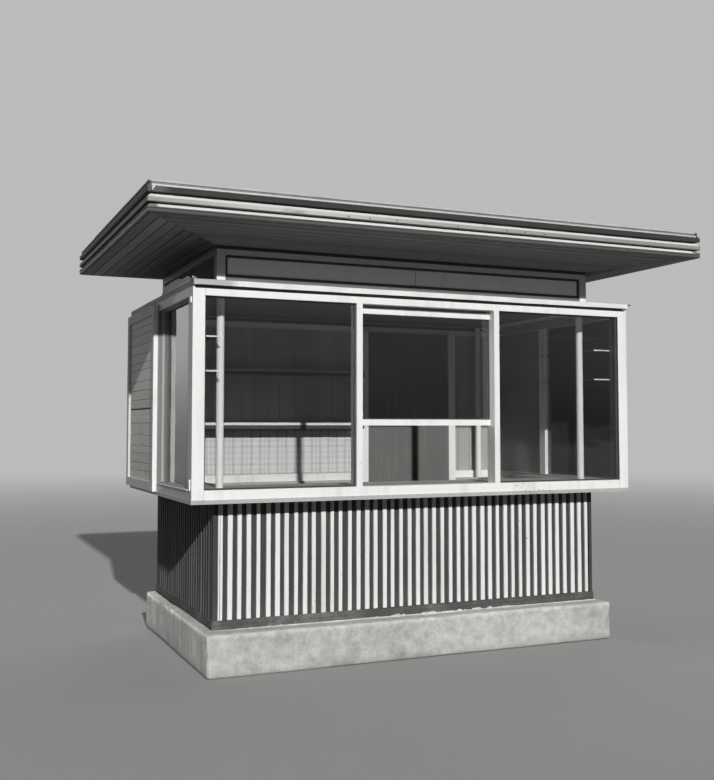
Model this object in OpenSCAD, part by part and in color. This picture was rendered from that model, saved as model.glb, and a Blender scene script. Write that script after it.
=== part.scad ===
// Street kiosk: a glazed timber sales hut on a cast concrete plinth, under a wide flat canopy.
// Millimetres. The origin lies on the ground under the middle of the canopy, and the front faces -Y.

/* [Lower walls] */
// Width over the slats of the lower walls
core_w = 2536; // [2300:1:2800]
// Depth over the slats of the lower walls
core_d = 1407; // [1300:1:1600]
// Height of the lower walls above the plinth
wall_h = 707; // [600:1:800]
// Thickness of the boarded lower walls behind the slats
wall_t = 40; // [25:1:60]
// Width of one slat
slat_w = 31; // [20:1:36]
// Wanted distance from one slat to the next, which each row adjusts to end at its strips
slat_pitch = 56; // [46:0.5:80]
// Thickness of a slat
slat_t = 14; // [8:1:20]
// Width of the square strip at each corner of the lower walls
corner_strip_w = 22; // [16:1:40]
// Height of the skirting board
skirting_h = 54; // [40:1:90]
// How far the skirting board stands out past the slats
skirting_out = 5; // [1:1:15]

/* [Plinth and floor] */
// Height of the plinth above the ground
plinth_h = 235; // [150:1:320]
// How far the plinth stands out past the side and rear walls
plinth_side = 57; // [30:1:110]
// How far the plinth stands out past the front wall
plinth_front = 113; // [60:1:160]
// Thickness of the floor boards
floor_t = 22; // [18:1:32]

/* [Glazed storey] */
// How far the glazed storey stands out past the side walls
box_side = 167; // [120:1:220]
// How far the glazed storey stands out past the front wall
box_front = 169; // [120:1:220]
// How far the glazed storey stands out past the rear wall
box_rear = 90; // [60:1:160]
// Thickness of the drip board under the glazed storey
drip_t = 22; // [16:1:30]
// How far the drip board stands out past the frame above it
drip_out = 4; // [0:1:12]
// Height of the sill rail
sill_h = 52; // [40:1:80]
// Clear height of the windows, from the sill rail to the head rail
glass_h = 1050; // [900:1:1150]
// Height of the head rail
head_h = 38; // [30:1:60]
// Width of a corner post as seen from the front
post_w = 68; // [50:1:90]
// Depth of the posts and mullions from outside to inside
frame_d = 88; // [60:1:110]
// Depth of the sill rails and head rails from outside to inside
rail_d = 80; // [56:1:90]
// Width of a mullion
mullion_w = 36; // [28:1:60]
// Distance between the middles of the two mullions
mullion_span = 914; // [800:1:1000]
// Thickness of the window glass
glass_t = 6; // [4:0.5:8]
// How far the front window glass lies behind the outer face of the frame
glass_set = 24; // [12:1:40]
// How far the side window glass lies behind the outer face of the frame
side_glass_set = 38; // [12:1:44]
// Clear width of a side window
side_pane_w = 748; // [600:1:800]

/* [Serving hatch] */
// Height of the opening that goods are handed through
hatch_h = 348; // [280:1:420]
// Height of the two rails that hold the glass over the opening
hatch_rail_h = 35; // [25:1:45]
// Distance from the underside of the upper rail to the head rail
hatch_drop = 51; // [40:1:80]
// How far the hatch rails lie behind the outer face of the frame
hatch_set = 52; // [30:1:58]

/* [Shutters and rear walls] */
// Thickness of a shutter folded back on the side wall
shutter_t = 31; // [24:1:45]
// Width of the frame round a shutter
shutter_frame_w = 55; // [40:1:80]
// How far the boards of a shutter lie below its frame
shutter_sink = 18; // [6:1:20]
// Thickness of the boarded walls behind the shutters and at the rear
panel_t = 40; // [25:1:60]

/* [Rear door] */
// Width of the door leaf's opening
door_w = 700; // [600:1:760]
// Distance from the middle of the kiosk to the middle of the door
door_x = 620; // [560:1:700]
// Thickness of the door leaf
door_t = 38; // [30:1:42]
// Width of a door jamb
jamb_w = 45; // [35:1:60]
// Width of the frame round the sunk panels of the door
door_frame_w = 95; // [70:1:130]
// How far the panels of the door are sunk
door_sink = 8; // [4:1:14]
// Gap round the closed door leaf
door_gap = 3; // [2:0.5:5]
// Width of the stop behind the door leaf
door_stop_w = 12; // [8:1:20]
// Height of the door handle above the floor
handle_h = 960; // [850:1:1100]
// Width of the plate behind the handle
handle_plate_w = 36; // [28:1:50]
// Height of the plate behind the handle
handle_plate_h = 150; // [110:1:200]
// Thickness of the plate behind the handle
handle_plate_t = 3; // [2:0.5:5]
// Distance from the door to the outer side of the lever
handle_neck_l = 42; // [30:1:60]
// Length of the lever
handle_lever_l = 100; // [80:1:130]
// Diameter of the neck and of the lever
handle_rod_d = 16; // [12:1:22]

/* [Shelves] */
// Depth of the front display shelf from the outer face of the frame to its inner edge
counter_d = 430; // [360:1:500]
// Depth of the side display shelves from the outer face of the frame to their inner edge
side_shelf_d = 300; // [240:1:340]
// Thickness of the display shelves and the back shelves
shelf_t = 20; // [16:1:30]
// Height of the bearers under the display shelves
bearer_h = 28; // [20:1:30]
// Width of the bearers under the display shelves
bearer_w = 40; // [30:1:60]
// Depth of the back shelves
back_shelf_d = 155; // [120:1:300]
// Height of the top of the lower back shelf above the ground
back_shelf_z = 1385; // [1250:1:1450]
// Distance from one back shelf up to the next
back_shelf_step = 380; // [300:1:420]
// Height of the strip along the front edge of a back shelf
shelf_strip_h = 44; // [26:1:60]
// Height of the lower glass shelf of a side display above the ground
glass_shelf_z = 1660; // [1500:1:1700]
// Distance from the lower glass shelf up to the next
glass_shelf_step = 190; // [150:1:300]
// Depth of a glass shelf
glass_shelf_d = 140; // [90:1:145]
// Thickness of a glass shelf
glass_shelf_t = 6; // [4:1:10]
// Diameter of a round inner post
inner_post_d = 44; // [36:1:60]
// Distance from the outer face of the lower walls to the middle of an inner post
inner_post_in = 47; // [40:1:70]

/* [Skirt roof] */
// Height of the dark recess between the head rail and the skirt roof
recess_h = 24; // [16:1:40]
// How deep that recess is
recess_d = 26; // [15:1:40]
// Thickness of the boards that close the recess at the sides
eave_side_t = 12; // [8:1:20]
// Thickness of the edge of the skirt roof
skirt_edge_t = 20; // [14:1:30]
// How much the skirt roof rises towards the sign band
skirt_rise = 25; // [15:1:60]
// How far the edge of the skirt roof stands out past the front frame
skirt_out = 20; // [10:1:40]
// How far the edge of the skirt roof stands out past the rear frame
skirt_out_rear = 35; // [10:1:50]

/* [Sign band] */
// How far the sign band lies inside the side walls
sign_side_in = 13; // [5:1:40]
// How far the sign band lies inside the front wall
sign_front_in = 11; // [5:1:40]
// How far the sign band lies inside the rear wall
sign_rear_in = 28; // [5:1:40]
// Width and depth of a corner post of the sign band
sign_post_w = 50; // [40:1:65]
// Height of the sill rail of the sign band
sign_sill_h = 17; // [12:1:30]
// Clear height of the sign panes
sign_pane_h = 137; // [110:1:170]
// Height of the top rail of the sign band
sign_top_h = 48; // [35:1:65]
// Thickness of the sign panes and of the boards at the other sides
sign_board_t = 12; // [8:1:20]
// How far the panes lie behind the frame of the sign band
sign_set = 14; // [6:1:25]
// Thickness of the ceiling boards
ceiling_t = 20; // [12:1:30]

/* [Canopy] */
// How far the canopy reaches past the front wall
canopy_front = 506; // [400:1:600]
// How far the canopy reaches past the side walls
canopy_side = 488; // [400:1:600]
// How far the canopy reaches past the rear wall
canopy_rear = 378; // [300:1:500]
// How much the soffit rises from the sign band to the edge
soffit_rise = 50; // [20:1:90]
// Thickness of the soffit boards, which show as the lowest strip of the fascia
soffit_t = 20; // [14:1:28]
// How far the fascia battens stand out past the board behind them
batten_t = 26; // [22:1:36]
// How far the bevelled tops of the lower and the middle batten slope inwards
batten_bevel = 20; // [4:1:22]
// Height of the lower fascia batten
lower_batten_h = 24; // [18:1:40]
// Height of its upright face under the bevel
lower_face_h = 10; // [4:1:16]
// Height of the groove over the lower batten
lower_groove_h = 7; // [4:1:20]
// Height of the middle fascia batten
middle_batten_h = 41; // [30:1:50]
// Height of its upright face under the bevel
middle_face_h = 24; // [12:1:28]
// Height of the groove over the middle batten
upper_groove_h = 10; // [4:1:14]
// Height of the upper fascia batten
upper_batten_h = 31; // [26:1:50]
// Height of its upright face under the bevel
upper_face_h = 25; // [12:1:25]
// How far the bevelled top of the upper batten slopes inwards
upper_bevel = 10; // [2:1:20]
// Thickness of the fascia board behind the battens
fascia_board_t = 32; // [22:1:45]
// Height of the metal flashing over the fascia
flashing_h = 35; // [26:1:50]
// Height of the lower fold of the flashing
flashing_fold_h = 16; // [8:1:18]
// Height of the groove between the two folds of the flashing
flashing_groove_h = 6; // [3:1:7]
// How far each fold leans back
flashing_lean = 4; // [1:1:6]
// How far the top edge of the flashing lies inwards
flashing_in = 28; // [24:1:40]
// Width of the flashing over the roof's edge
flashing_w = 80; // [60:1:120]
// Thickness of the roof deck
deck_t = 24; // [18:1:30]

/* [Hidden] */

// Gap between boards of one node that butt at a corner
butt = 0.5;
// Gap in the mitres between boards of one node, measured along the front
mitre_gap = 1;
// Gap between a back shelf and the round post beside it
shelf_clear = 4;
$fn = 32;

concrete = [0.52, 0.51, 0.48];
white_paint = [0.90, 0.89, 0.85];
pale_paint = [0.72, 0.71, 0.66];
dark_stain = [0.10, 0.08, 0.07];
soffit_stain = [0.22, 0.20, 0.18];
bare_board = [0.50, 0.44, 0.36];
glass_tint = [0.72, 0.80, 0.80, 0.4];
opal = [0.62, 0.63, 0.62];
zinc = [0.68, 0.69, 0.70];
felt = [0.16, 0.16, 0.16];
steel = [0.45, 0.45, 0.45];

// Heights from the ground upwards
bay_z = plinth_h + wall_h;
sill_z = bay_z + drip_t;
pane_z = sill_z + sill_h;
head_z = pane_z + glass_h;
eave_z = head_z + head_h;
skirt_z = eave_z + recess_h;
sign_z = skirt_z + skirt_edge_t + skirt_rise;
sign_pane_z = sign_z + sign_sill_h;
sign_top_z = sign_pane_z + sign_pane_h;
soffit_in_z = sign_top_z + sign_top_h;
soffit_out_z = soffit_in_z + soffit_rise;
lower_batten_z = soffit_out_z + soffit_t;
middle_batten_z = lower_batten_z + lower_batten_h + lower_groove_h;
upper_batten_z = middle_batten_z + middle_batten_h + upper_groove_h;
flashing_z = upper_batten_z + upper_batten_h;
floor_z = plinth_h + floor_t;
shelf_z = sill_z + bearer_h;
shelf_top_z = shelf_z + shelf_t;

// Outlines in plan: half width, front edge and rear edge
core_y = (canopy_front - canopy_rear) / 2;
core = [core_w / 2, core_y - core_d / 2, core_y + core_d / 2];
box = spread(core, box_side, box_front, box_rear);
skirt_edge = spread(box, 0, skirt_out, skirt_out_rear);
sign = spread(core, -sign_side_in, -sign_front_in, -sign_rear_in);
canopy = spread(core, canopy_side, canopy_front, canopy_rear);
boards = inset(core, slat_t);
room = inset(boards, wall_t);
box_in = spread(box, -post_w, -frame_d, -frame_d);
rail_in = spread(box, -post_w, -rail_d, -rail_d);
sign_in = inset(sign, sign_post_w);

// Length and height that reach past everything
long = core_w + 2 * canopy_side;
above = flashing_z + 2 * flashing_h;

mullion_x = mullion_span / 2;
inner_post_x = core[0] - inner_post_in;
mid_post_y = box_in[1] + side_pane_w;
counter_y = box[1] + counter_d;
side_shelf_x = box[0] - side_shelf_d;
door_left = door_x - door_w / 2;
door_right = door_x + door_w / 2;
jamb_left = door_left - jamb_w;
jamb_right = door_right + jamb_w;
hatch_y = box[1] + hatch_set;
hatch_glass_z = pane_z + hatch_h + hatch_rail_h;
hatch_head_z = head_z - hatch_drop;

// An outline that stands out past another one
function spread(o, side, front, rear) = [o[0] + side, o[1] - front, o[2] + rear];

// An outline that lies inside another one by the same distance all round
function inset(o, d) = [o[0] - d, o[1] + d, o[2] - d];

// A corner of an outline, counted from the front left one towards the front right one
function corner(o, n) = [[-o[0], o[1]], [o[0], o[1]], [o[0], o[2]], [-o[0], o[2]]][n % 4];

// How far side n of an outline lies from the middle: front, right, rear, left
function reach(o, n) = [-o[1], o[0], o[2], o[0]][n];

// A box between two opposite corners
module block(lo, hi) {
    translate(lo) cube(hi - lo);
}

// The same piece at the left and at the right
module both_sides() {
    children();
    mirror([1, 0, 0]) children();
}

// One side of a frame, mitred along the corners of nested outlines.
// The profile gives distances inwards from the first outline, and heights.
module mitred_side(n, outlines, profile) {
    inner = [for (k = [len(outlines) - 1:-1:1]) corner(outlines[k], n)];
    outer = [for (k = [1:len(outlines) - 1]) corner(outlines[k], n + 1)];
    plan = concat([corner(outlines[0], n), corner(outlines[0], n + 1)], outer, inner);
    intersection() {
        rotate([0, 0, 90 * n])
            translate([-long, -reach(outlines[0], n), 0])
                rotate([90, 0, 90]) linear_extrude(2 * long) polygon(profile);
        linear_extrude(above) polygon(plan);
    }
}

// Four mitred boards between an outline and the same outline moved inwards
module mitred_frame(o, w, profile) {
    for (n = [0:3]) {
        trim = n % 2 == 0 ? mitre_gap : 0;
        mitred_side(n, [for (edge = [o, inset(o, w)]) spread(edge, -trim, 0, 0)], profile);
    }
}

// A fascia batten on each side of the canopy: an upright face, then a bevelled top
module fascia_battens(z, h, face_h, bevel) {
    mitred_frame(canopy, batten_t,
        [[0, z], [batten_t, z], [batten_t, z + h], [bevel, z + h], [0, z + face_h]]);
}

// Four boards along an outline that butt at the corners, the front and rear ones running through
module butted_boards(o, w, z, h) {
    for (y = [o[1], o[2] - w]) block([-o[0], y, z], [o[0], y + w, z + h]);
    both_sides() block([-o[0], o[1] + w + butt, z], [-o[0] + w, o[2] - w - butt, z + h]);
}

// Square posts in the corners of an outline
module corner_posts(o, w, d, z, h) {
    both_sides() for (y = [o[1], o[2] - d]) block([-o[0], y, z], [-o[0] + w, y + d, z + h]);
}

// Slats side by side along X, standing out of the wall towards -Y from the plane y
module slat_row(x0, x1, y) {
    run = x1 - x0 - slat_w;
    count = round(run / slat_pitch);
    z0 = plinth_h + skirting_h;
    for (k = [0:count]) {
        x = x0 + k * run / count;
        block([x, y, z0], [x + slat_w, y + slat_t, bay_z]);
    }
}

// A board with a sunk panel inside its frame, in the plane XZ, with its outer face towards -Y
module framed_board(w, h, t, frame_w, sink) {
    difference() {
        cube([w, t, h]);
        block([frame_w, -1, frame_w], [w - frame_w, sink, h - frame_w]);
    }
}

// Cast plinth, one mass of concrete
module plinth() {
    o = spread(core, plinth_side, plinth_front, plinth_side);
    color(concrete) block([-o[0], o[1], 0], [o[0], o[2], plinth_h]);
}

// Floor boards inside the lower walls, with the threshold under the door
module floor_deck() {
    color(bare_board) union() {
        block([-room[0], room[1], plinth_h], [room[0], room[2], floor_z]);
        block([door_left, room[2] - 1, plinth_h], [door_right, core[2], floor_z]);
    }
}

module base_front_wall() {
    color(dark_stain) block([-boards[0], boards[1], plinth_h], [boards[0], room[1], bay_z]);
}

module base_side_walls() {
    color(dark_stain) both_sides()
        block([-boards[0], room[1], plinth_h], [-room[0], boards[2], bay_z]);
}

// Rear walls to the left and right of the door
module base_rear_walls() {
    color(dark_stain) {
        block([-room[0], room[2], plinth_h], [jamb_left, boards[2], bay_z]);
        block([jamb_right, room[2], plinth_h], [room[0], boards[2], bay_z]);
    }
}

// Square strips that close the corners between the rows of slats
module base_corner_strips() {
    w = corner_strip_w;
    z0 = plinth_h + skirting_h;
    color(dark_stain) both_sides() for (front = [true, false]) {
        y = front ? core[1] : core[2] - w;
        y_wall = front ? boards[1] : boards[2] - w;
        difference() {
            block([-core[0], y, z0], [-core[0] + w, y + w, bay_z]);
            block([-boards[0], y_wall, z0 - 1], [-boards[0] + w, y_wall + w, bay_z + 1]);
        }
    }
}

// Skirting boards on the plinth, interrupted at the door
module skirting_boards() {
    o = inset(core, -skirting_out);
    w = skirting_out + slat_t;
    z1 = plinth_h + skirting_h;
    color(dark_stain) {
        block([-o[0], o[1], plinth_h], [o[0], boards[1], z1]);
        both_sides()
            block([-o[0], boards[1] + butt, plinth_h], [-boards[0], boards[2] - butt, z1]);
        block([-o[0], boards[2], plinth_h], [jamb_left, boards[2] + w, z1]);
        block([jamb_right, boards[2], plinth_h], [o[0], boards[2] + w, z1]);
    }
}

module front_slats() {
    color(white_paint)
        slat_row(-core[0] + corner_strip_w, core[0] - corner_strip_w, core[1]);
}

module side_slats() {
    color(dark_stain) both_sides()
        rotate([0, 0, -90])
            slat_row(-core[2] + corner_strip_w, -core[1] - corner_strip_w, -core[0]);
}

// Slats of the rear, to the left and right of the door
module rear_slats() {
    color(dark_stain) {
        slat_row(-core[0] + corner_strip_w, jamb_left, boards[2]);
        slat_row(jamb_right, core[0] - corner_strip_w, boards[2]);
    }
}

// Boards that close the underside of the glazed storey and shed the rain at its edge
module bay_floor_boards() {
    o = inset(box, -drip_out);
    color(pale_paint) {
        block([-o[0], o[1], bay_z], [o[0], room[1], sill_z]);
        both_sides() block([-o[0], room[1] + butt, bay_z], [-room[0], room[2] - butt, sill_z]);
        block([-o[0], room[2], bay_z], [jamb_left, o[2], sill_z]);
        block([jamb_right, room[2], bay_z], [o[0], o[2], sill_z]);
    }
}

module box_corner_posts() {
    color(white_paint) corner_posts(box, post_w, frame_d, sill_z, eave_z - sill_z);
}

module front_mullions() {
    w = mullion_w / 2;
    color(white_paint) both_sides()
        block([-mullion_x - w, box[1], pane_z], [-mullion_x + w, box_in[1], head_z]);
}

// Posts between the side windows and the boarded walls behind them
module side_mid_posts() {
    color(white_paint) both_sides()
        block([-box[0], mid_post_y, pane_z], [-box_in[0], mid_post_y + post_w, head_z]);
}

// Rails between the corner posts: the rear one stops at the door
module box_sill_rails() {
    color(white_paint) {
        block([-box_in[0], box[1], sill_z], [box_in[0], rail_in[1], pane_z]);
        both_sides() block([-box[0], box_in[1], sill_z], [-box_in[0], box_in[2], pane_z]);
        block([-box_in[0], rail_in[2], sill_z], [jamb_left, box[2], pane_z]);
        block([jamb_right, rail_in[2], sill_z], [box_in[0], box[2], pane_z]);
    }
}

module box_head_rails() {
    color(white_paint) {
        for (y = [box[1], rail_in[2]])
            block([-box_in[0], y, head_z], [box_in[0], y + rail_d, eave_z]);
        both_sides() block([-box[0], box_in[1], head_z], [-box_in[0], box_in[2], eave_z]);
    }
}

module front_window_panes() {
    x1 = -mullion_x - mullion_w / 2;
    y = box[1] + glass_set;
    color(glass_tint) both_sides()
        block([-box_in[0], y, pane_z], [x1, y + glass_t, head_z]);
}

module side_window_panes() {
    x = -box[0] + side_glass_set;
    color(glass_tint) both_sides()
        block([x, box_in[1], pane_z], [x + glass_t, mid_post_y, head_z]);
}

// Two rails between the mullions that hold the glass over the opening
module hatch_rails() {
    x = mullion_x - mullion_w / 2;
    color(white_paint) for (z = [pane_z + hatch_h, hatch_head_z])
        block([-x, hatch_y, z], [x, box_in[1], z + hatch_rail_h]);
}

module hatch_pane() {
    x = mullion_x - mullion_w / 2;
    y = (hatch_y + box_in[1] - glass_t) / 2;
    color(glass_tint) block([-x, y, hatch_glass_z], [x, y + glass_t, hatch_head_z]);
}

// Boarded walls between the middle post and the rear post of each side
module side_rear_walls() {
    color(pale_paint) both_sides()
        block([-box[0], mid_post_y + post_w, pane_z], [-box[0] + panel_t, box_in[2], head_z]);
}

// Framed shutters, folded back against the rear half of each side
module side_shutters() {
    w = box[2] - mid_post_y;
    h = eave_z - sill_z;
    color(pale_paint) both_sides()
        translate([-box[0] - shutter_t, box[2], sill_z]) rotate([0, 0, -90])
            framed_board(w, h, shutter_t, shutter_frame_w, shutter_sink);
}

// Boarded upper walls of the rear, to the left and right of the door
module rear_walls() {
    color(pale_paint) {
        block([-box_in[0], box[2] - panel_t, pane_z], [jamb_left, box[2], head_z]);
        block([jamb_right, box[2] - panel_t, pane_z], [box_in[0], box[2], head_z]);
    }
}

// Jambs from the plinth to the head rail, with a stop behind the leaf
module door_jambs() {
    stop_y = core[2] - door_t;
    color(white_paint) for (side = [0, 1]) {
        x = side == 0 ? jamb_left : door_right;
        x_stop = side == 0 ? door_left : door_right - door_stop_w;
        union() {
            block([x, room[2], plinth_h], [x + jamb_w, core[2], head_z]);
            block([x, core[2] - 1, bay_z], [x + jamb_w, box[2], head_z]);
            block([x_stop, room[2], floor_z], [x_stop + door_stop_w, stop_y, head_z]);
        }
    }
}

// Door leaf with two sunk panels, resting on the threshold against its stops
module rear_door() {
    w = door_w - 2 * door_gap;
    h = head_z - door_gap - floor_z;
    lock_rail_z = 2 * door_frame_w + (h - 3 * door_frame_w) * 0.4;
    color(white_paint)
        translate([door_left + door_gap + w, core[2], floor_z]) rotate([0, 0, 180])
            difference() {
                cube([w, door_t, h]);
                block([door_frame_w, -1, door_frame_w],
                    [w - door_frame_w, door_sink, lock_rail_z - door_frame_w]);
                block([door_frame_w, -1, lock_rail_z],
                    [w - door_frame_w, door_sink, h - door_frame_w]);
            }
}

// Lever handle on a plain plate, on the outer face of the door
module door_handle() {
    x = door_left + door_frame_w / 2;
    w = handle_plate_w;
    h = handle_plate_h;
    color(steel) translate([x, core[2], floor_z + handle_h]) union() {
        translate([-w / 2, 0, -h / 2]) cube([w, handle_plate_t, h]);
        rotate([-90, 0, 0]) cylinder(d = handle_rod_d, h = handle_neck_l);
        translate([-handle_rod_d / 2, handle_neck_l - handle_rod_d / 2, 0])
            rotate([0, 90, 0]) cylinder(d = handle_rod_d, h = handle_lever_l);
    }
}

// Bearers on the bay floor: along the outer rails and over the lower walls
module shelf_bearers() {
    side_end = mid_post_y + post_w;
    color(bare_board) {
        block([-box_in[0], rail_in[1], sill_z], [box_in[0], rail_in[1] + bearer_w, shelf_z]);
        block([-room[0], room[1] - bearer_w, sill_z], [room[0], room[1], shelf_z]);
        both_sides() block([-box_in[0], rail_in[1] + bearer_w + butt, sill_z],
            [-box_in[0] + bearer_w, side_end, shelf_z]);
        both_sides() block([-room[0] - bearer_w, room[1] + butt, sill_z],
            [-room[0], side_end, shelf_z]);
    }
}

// Front display shelf, which is the counter behind the serving hatch
module front_display_shelf() {
    color(bare_board)
        block([-box_in[0], rail_in[1], shelf_z], [box_in[0], counter_y, shelf_top_z]);
}

// Display shelves behind the side windows
module side_display_shelves() {
    color(bare_board) both_sides()
        block([-box_in[0], counter_y + butt, shelf_z],
            [-side_shelf_x, mid_post_y + post_w, shelf_top_z]);
}

// Two glass shelves between the posts of each side window, against its pane
module side_glass_shelves() {
    x = -box[0] + side_glass_set + glass_t;
    color(glass_tint) both_sides() for (z = [glass_shelf_z, glass_shelf_z + glass_shelf_step])
        block([x, box_in[1], z], [x + glass_shelf_d, mid_post_y, z + glass_shelf_t]);
}

// Two shelves on the rear wall, each with an edge strip under its front
module back_shelves() {
    x0 = -inner_post_x + inner_post_d / 2 + shelf_clear;
    y0 = box[2] - panel_t - back_shelf_d;
    y1 = box[2] - panel_t;
    color(bare_board) for (z = [back_shelf_z, back_shelf_z + back_shelf_step]) union() {
        block([x0, y0, z - shelf_t], [jamb_left, y1, z]);
        block([x0, y0, z - shelf_strip_h], [jamb_left, y0 + shelf_t, z]);
    }
}

// Round posts that carry the canopy, standing on the display shelf and the rear bay floor
module inner_posts() {
    color(white_paint) both_sides() {
        translate([-inner_post_x, core[1] + inner_post_in, shelf_top_z])
            cylinder(d = inner_post_d, h = skirt_z - shelf_top_z);
        translate([-inner_post_x, core[2] - inner_post_in, sill_z])
            cylinder(d = inner_post_d, h = skirt_z - sill_z);
    }
}

// Boards set back over the front and rear head rails, which make the recess under the skirt roof
module eave_boards() {
    x = box[0] - eave_side_t;
    color(dark_stain) {
        block([-x, box[1] + recess_d, eave_z], [x, rail_in[1], skirt_z]);
        block([-x, rail_in[2], eave_z], [x, box[2] - recess_d, skirt_z]);
    }
}

// Boards over the side head rails, flush with the frame, which close the ends of the recess
module eave_side_boards() {
    color(white_paint) both_sides()
        block([-box[0], box[1], eave_z], [-box[0] + eave_side_t, box[2], skirt_z]);
}

// One side of the skirt roof, sloping up from its edge to the sign band
module skirt_side(n) {
    run = reach(skirt_edge, n) - reach(sign, n);
    mitred_side(n, [skirt_edge, sign],
        [[0, skirt_z], [run, skirt_z], [run, sign_z], [0, skirt_z + skirt_edge_t]]);
}

module skirt_roof_long_sides() {
    color(zinc) for (n = [0, 2]) skirt_side(n);
}

module skirt_roof_short_sides() {
    color(zinc) for (n = [1, 3]) skirt_side(n);
}

// Beams on the inner posts, under the sign band
module ring_beams() {
    color(pale_paint) butted_boards(sign, sign_post_w, skirt_z, sign_z - skirt_z);
}

module ceiling() {
    color(pale_paint)
        block([-sign_in[0], sign_in[1], skirt_z], [sign_in[0], sign_in[2], skirt_z + ceiling_t]);
}

module sign_corner_posts() {
    color(white_paint)
        corner_posts(sign, sign_post_w, sign_post_w, sign_z, soffit_in_z - sign_z);
}

// Rails between the corner posts of the sign band
module sign_rails(z, h) {
    w = sign_post_w;
    for (y = [sign[1], sign_in[2]]) block([-sign_in[0], y, z], [sign_in[0], y + w, z + h]);
    both_sides() block([-sign[0], sign_in[1], z], [-sign_in[0], sign_in[2], z + h]);
}

module sign_sill_rails() {
    color(white_paint) sign_rails(sign_z, sign_sill_h);
}

module sign_top_rails() {
    color(white_paint) sign_rails(sign_top_z, sign_top_h);
}

// Two bare opal panes that butt at the middle
module sign_front_panes() {
    y = sign[1] + sign_set;
    color(opal) both_sides()
        block([-sign_in[0], y, sign_pane_z], [-butt / 2, y + sign_board_t, sign_top_z]);
}

// Boards that close the sides and the rear of the sign band
module sign_side_boards() {
    color(dark_stain) {
        both_sides() block([-sign[0] + sign_set, sign_in[1], sign_pane_z],
            [-sign[0] + sign_set + sign_board_t, sign_in[2], sign_top_z]);
        block([-sign_in[0], sign[2] - sign_set - sign_board_t, sign_pane_z],
            [sign_in[0], sign[2] - sign_set, sign_top_z]);
    }
}

// One side of the soffit: flat over the top rail, then rising to the edge of the canopy
module soffit_side(n) {
    lap = sign_post_w / 2;
    run = reach(canopy, n) - reach(sign, n);
    mitred_side(n, [canopy, sign, inset(sign, lap)],
        [[0, soffit_out_z], [run, soffit_in_z], [run + lap, soffit_in_z],
        [run + lap, soffit_in_z + soffit_t], [run, soffit_in_z + soffit_t],
        [0, soffit_out_z + soffit_t]]);
}

module soffit_long_sides() {
    color(soffit_stain) for (n = [0, 2]) soffit_side(n);
}

module soffit_short_sides() {
    color(soffit_stain) for (n = [1, 3]) soffit_side(n);
}

// Board behind the battens, standing on the edge of the soffit
module fascia_board() {
    color(dark_stain)
        butted_boards(inset(canopy, batten_t), fascia_board_t, lower_batten_z,
            flashing_z - lower_batten_z);
}

module fascia_lower_battens() {
    color(pale_paint)
        fascia_battens(lower_batten_z, lower_batten_h, lower_face_h, batten_bevel);
}

module fascia_middle_battens() {
    color(pale_paint)
        fascia_battens(middle_batten_z, middle_batten_h, middle_face_h, batten_bevel);
}

module fascia_upper_battens() {
    color(dark_stain)
        fascia_battens(upper_batten_z, upper_batten_h, upper_face_h, upper_bevel);
}

// Metal flashing in four mitred lengths: a lower fold, a groove and an upper fold over the edge
module roof_flashing() {
    fold_in = upper_bevel + flashing_lean;
    fold_z = flashing_z + flashing_fold_h;
    lip_z = fold_z + flashing_groove_h;
    top_z = flashing_z + flashing_h;
    color(zinc) mitred_frame(canopy, flashing_w,
        [[upper_bevel, flashing_z], [flashing_w, flashing_z], [flashing_w, top_z],
        [flashing_in, top_z], [fold_in + flashing_lean, lip_z], [flashing_in - flashing_lean, lip_z],
        [flashing_in - flashing_lean, fold_z], [fold_in, fold_z]]);
}

module roof_deck() {
    o = inset(canopy, flashing_w);
    color(felt) block([-o[0], o[1], flashing_z], [o[0], o[2], flashing_z + deck_t]);
}

plinth();
floor_deck();
base_front_wall();
base_side_walls();
base_rear_walls();
base_corner_strips();
skirting_boards();
front_slats();
side_slats();
rear_slats();
bay_floor_boards();
box_corner_posts();
front_mullions();
side_mid_posts();
box_sill_rails();
box_head_rails();
front_window_panes();
side_window_panes();
hatch_rails();
hatch_pane();
side_rear_walls();
side_shutters();
rear_walls();
door_jambs();
rear_door();
door_handle();
shelf_bearers();
front_display_shelf();
side_display_shelves();
side_glass_shelves();
back_shelves();
inner_posts();
eave_boards();
eave_side_boards();
skirt_roof_long_sides();
skirt_roof_short_sides();
ring_beams();
ceiling();
sign_corner_posts();
sign_sill_rails();
sign_top_rails();
sign_front_panes();
sign_side_boards();
soffit_long_sides();
soffit_short_sides();
fascia_board();
fascia_lower_battens();
fascia_middle_battens();
fascia_upper_battens();
roof_flashing();
roof_deck();
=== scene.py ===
"""Street kiosk: finishes, boards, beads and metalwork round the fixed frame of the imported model.

Metres, +Z up, front towards -Y, left side towards -X.
"""

import math

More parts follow.
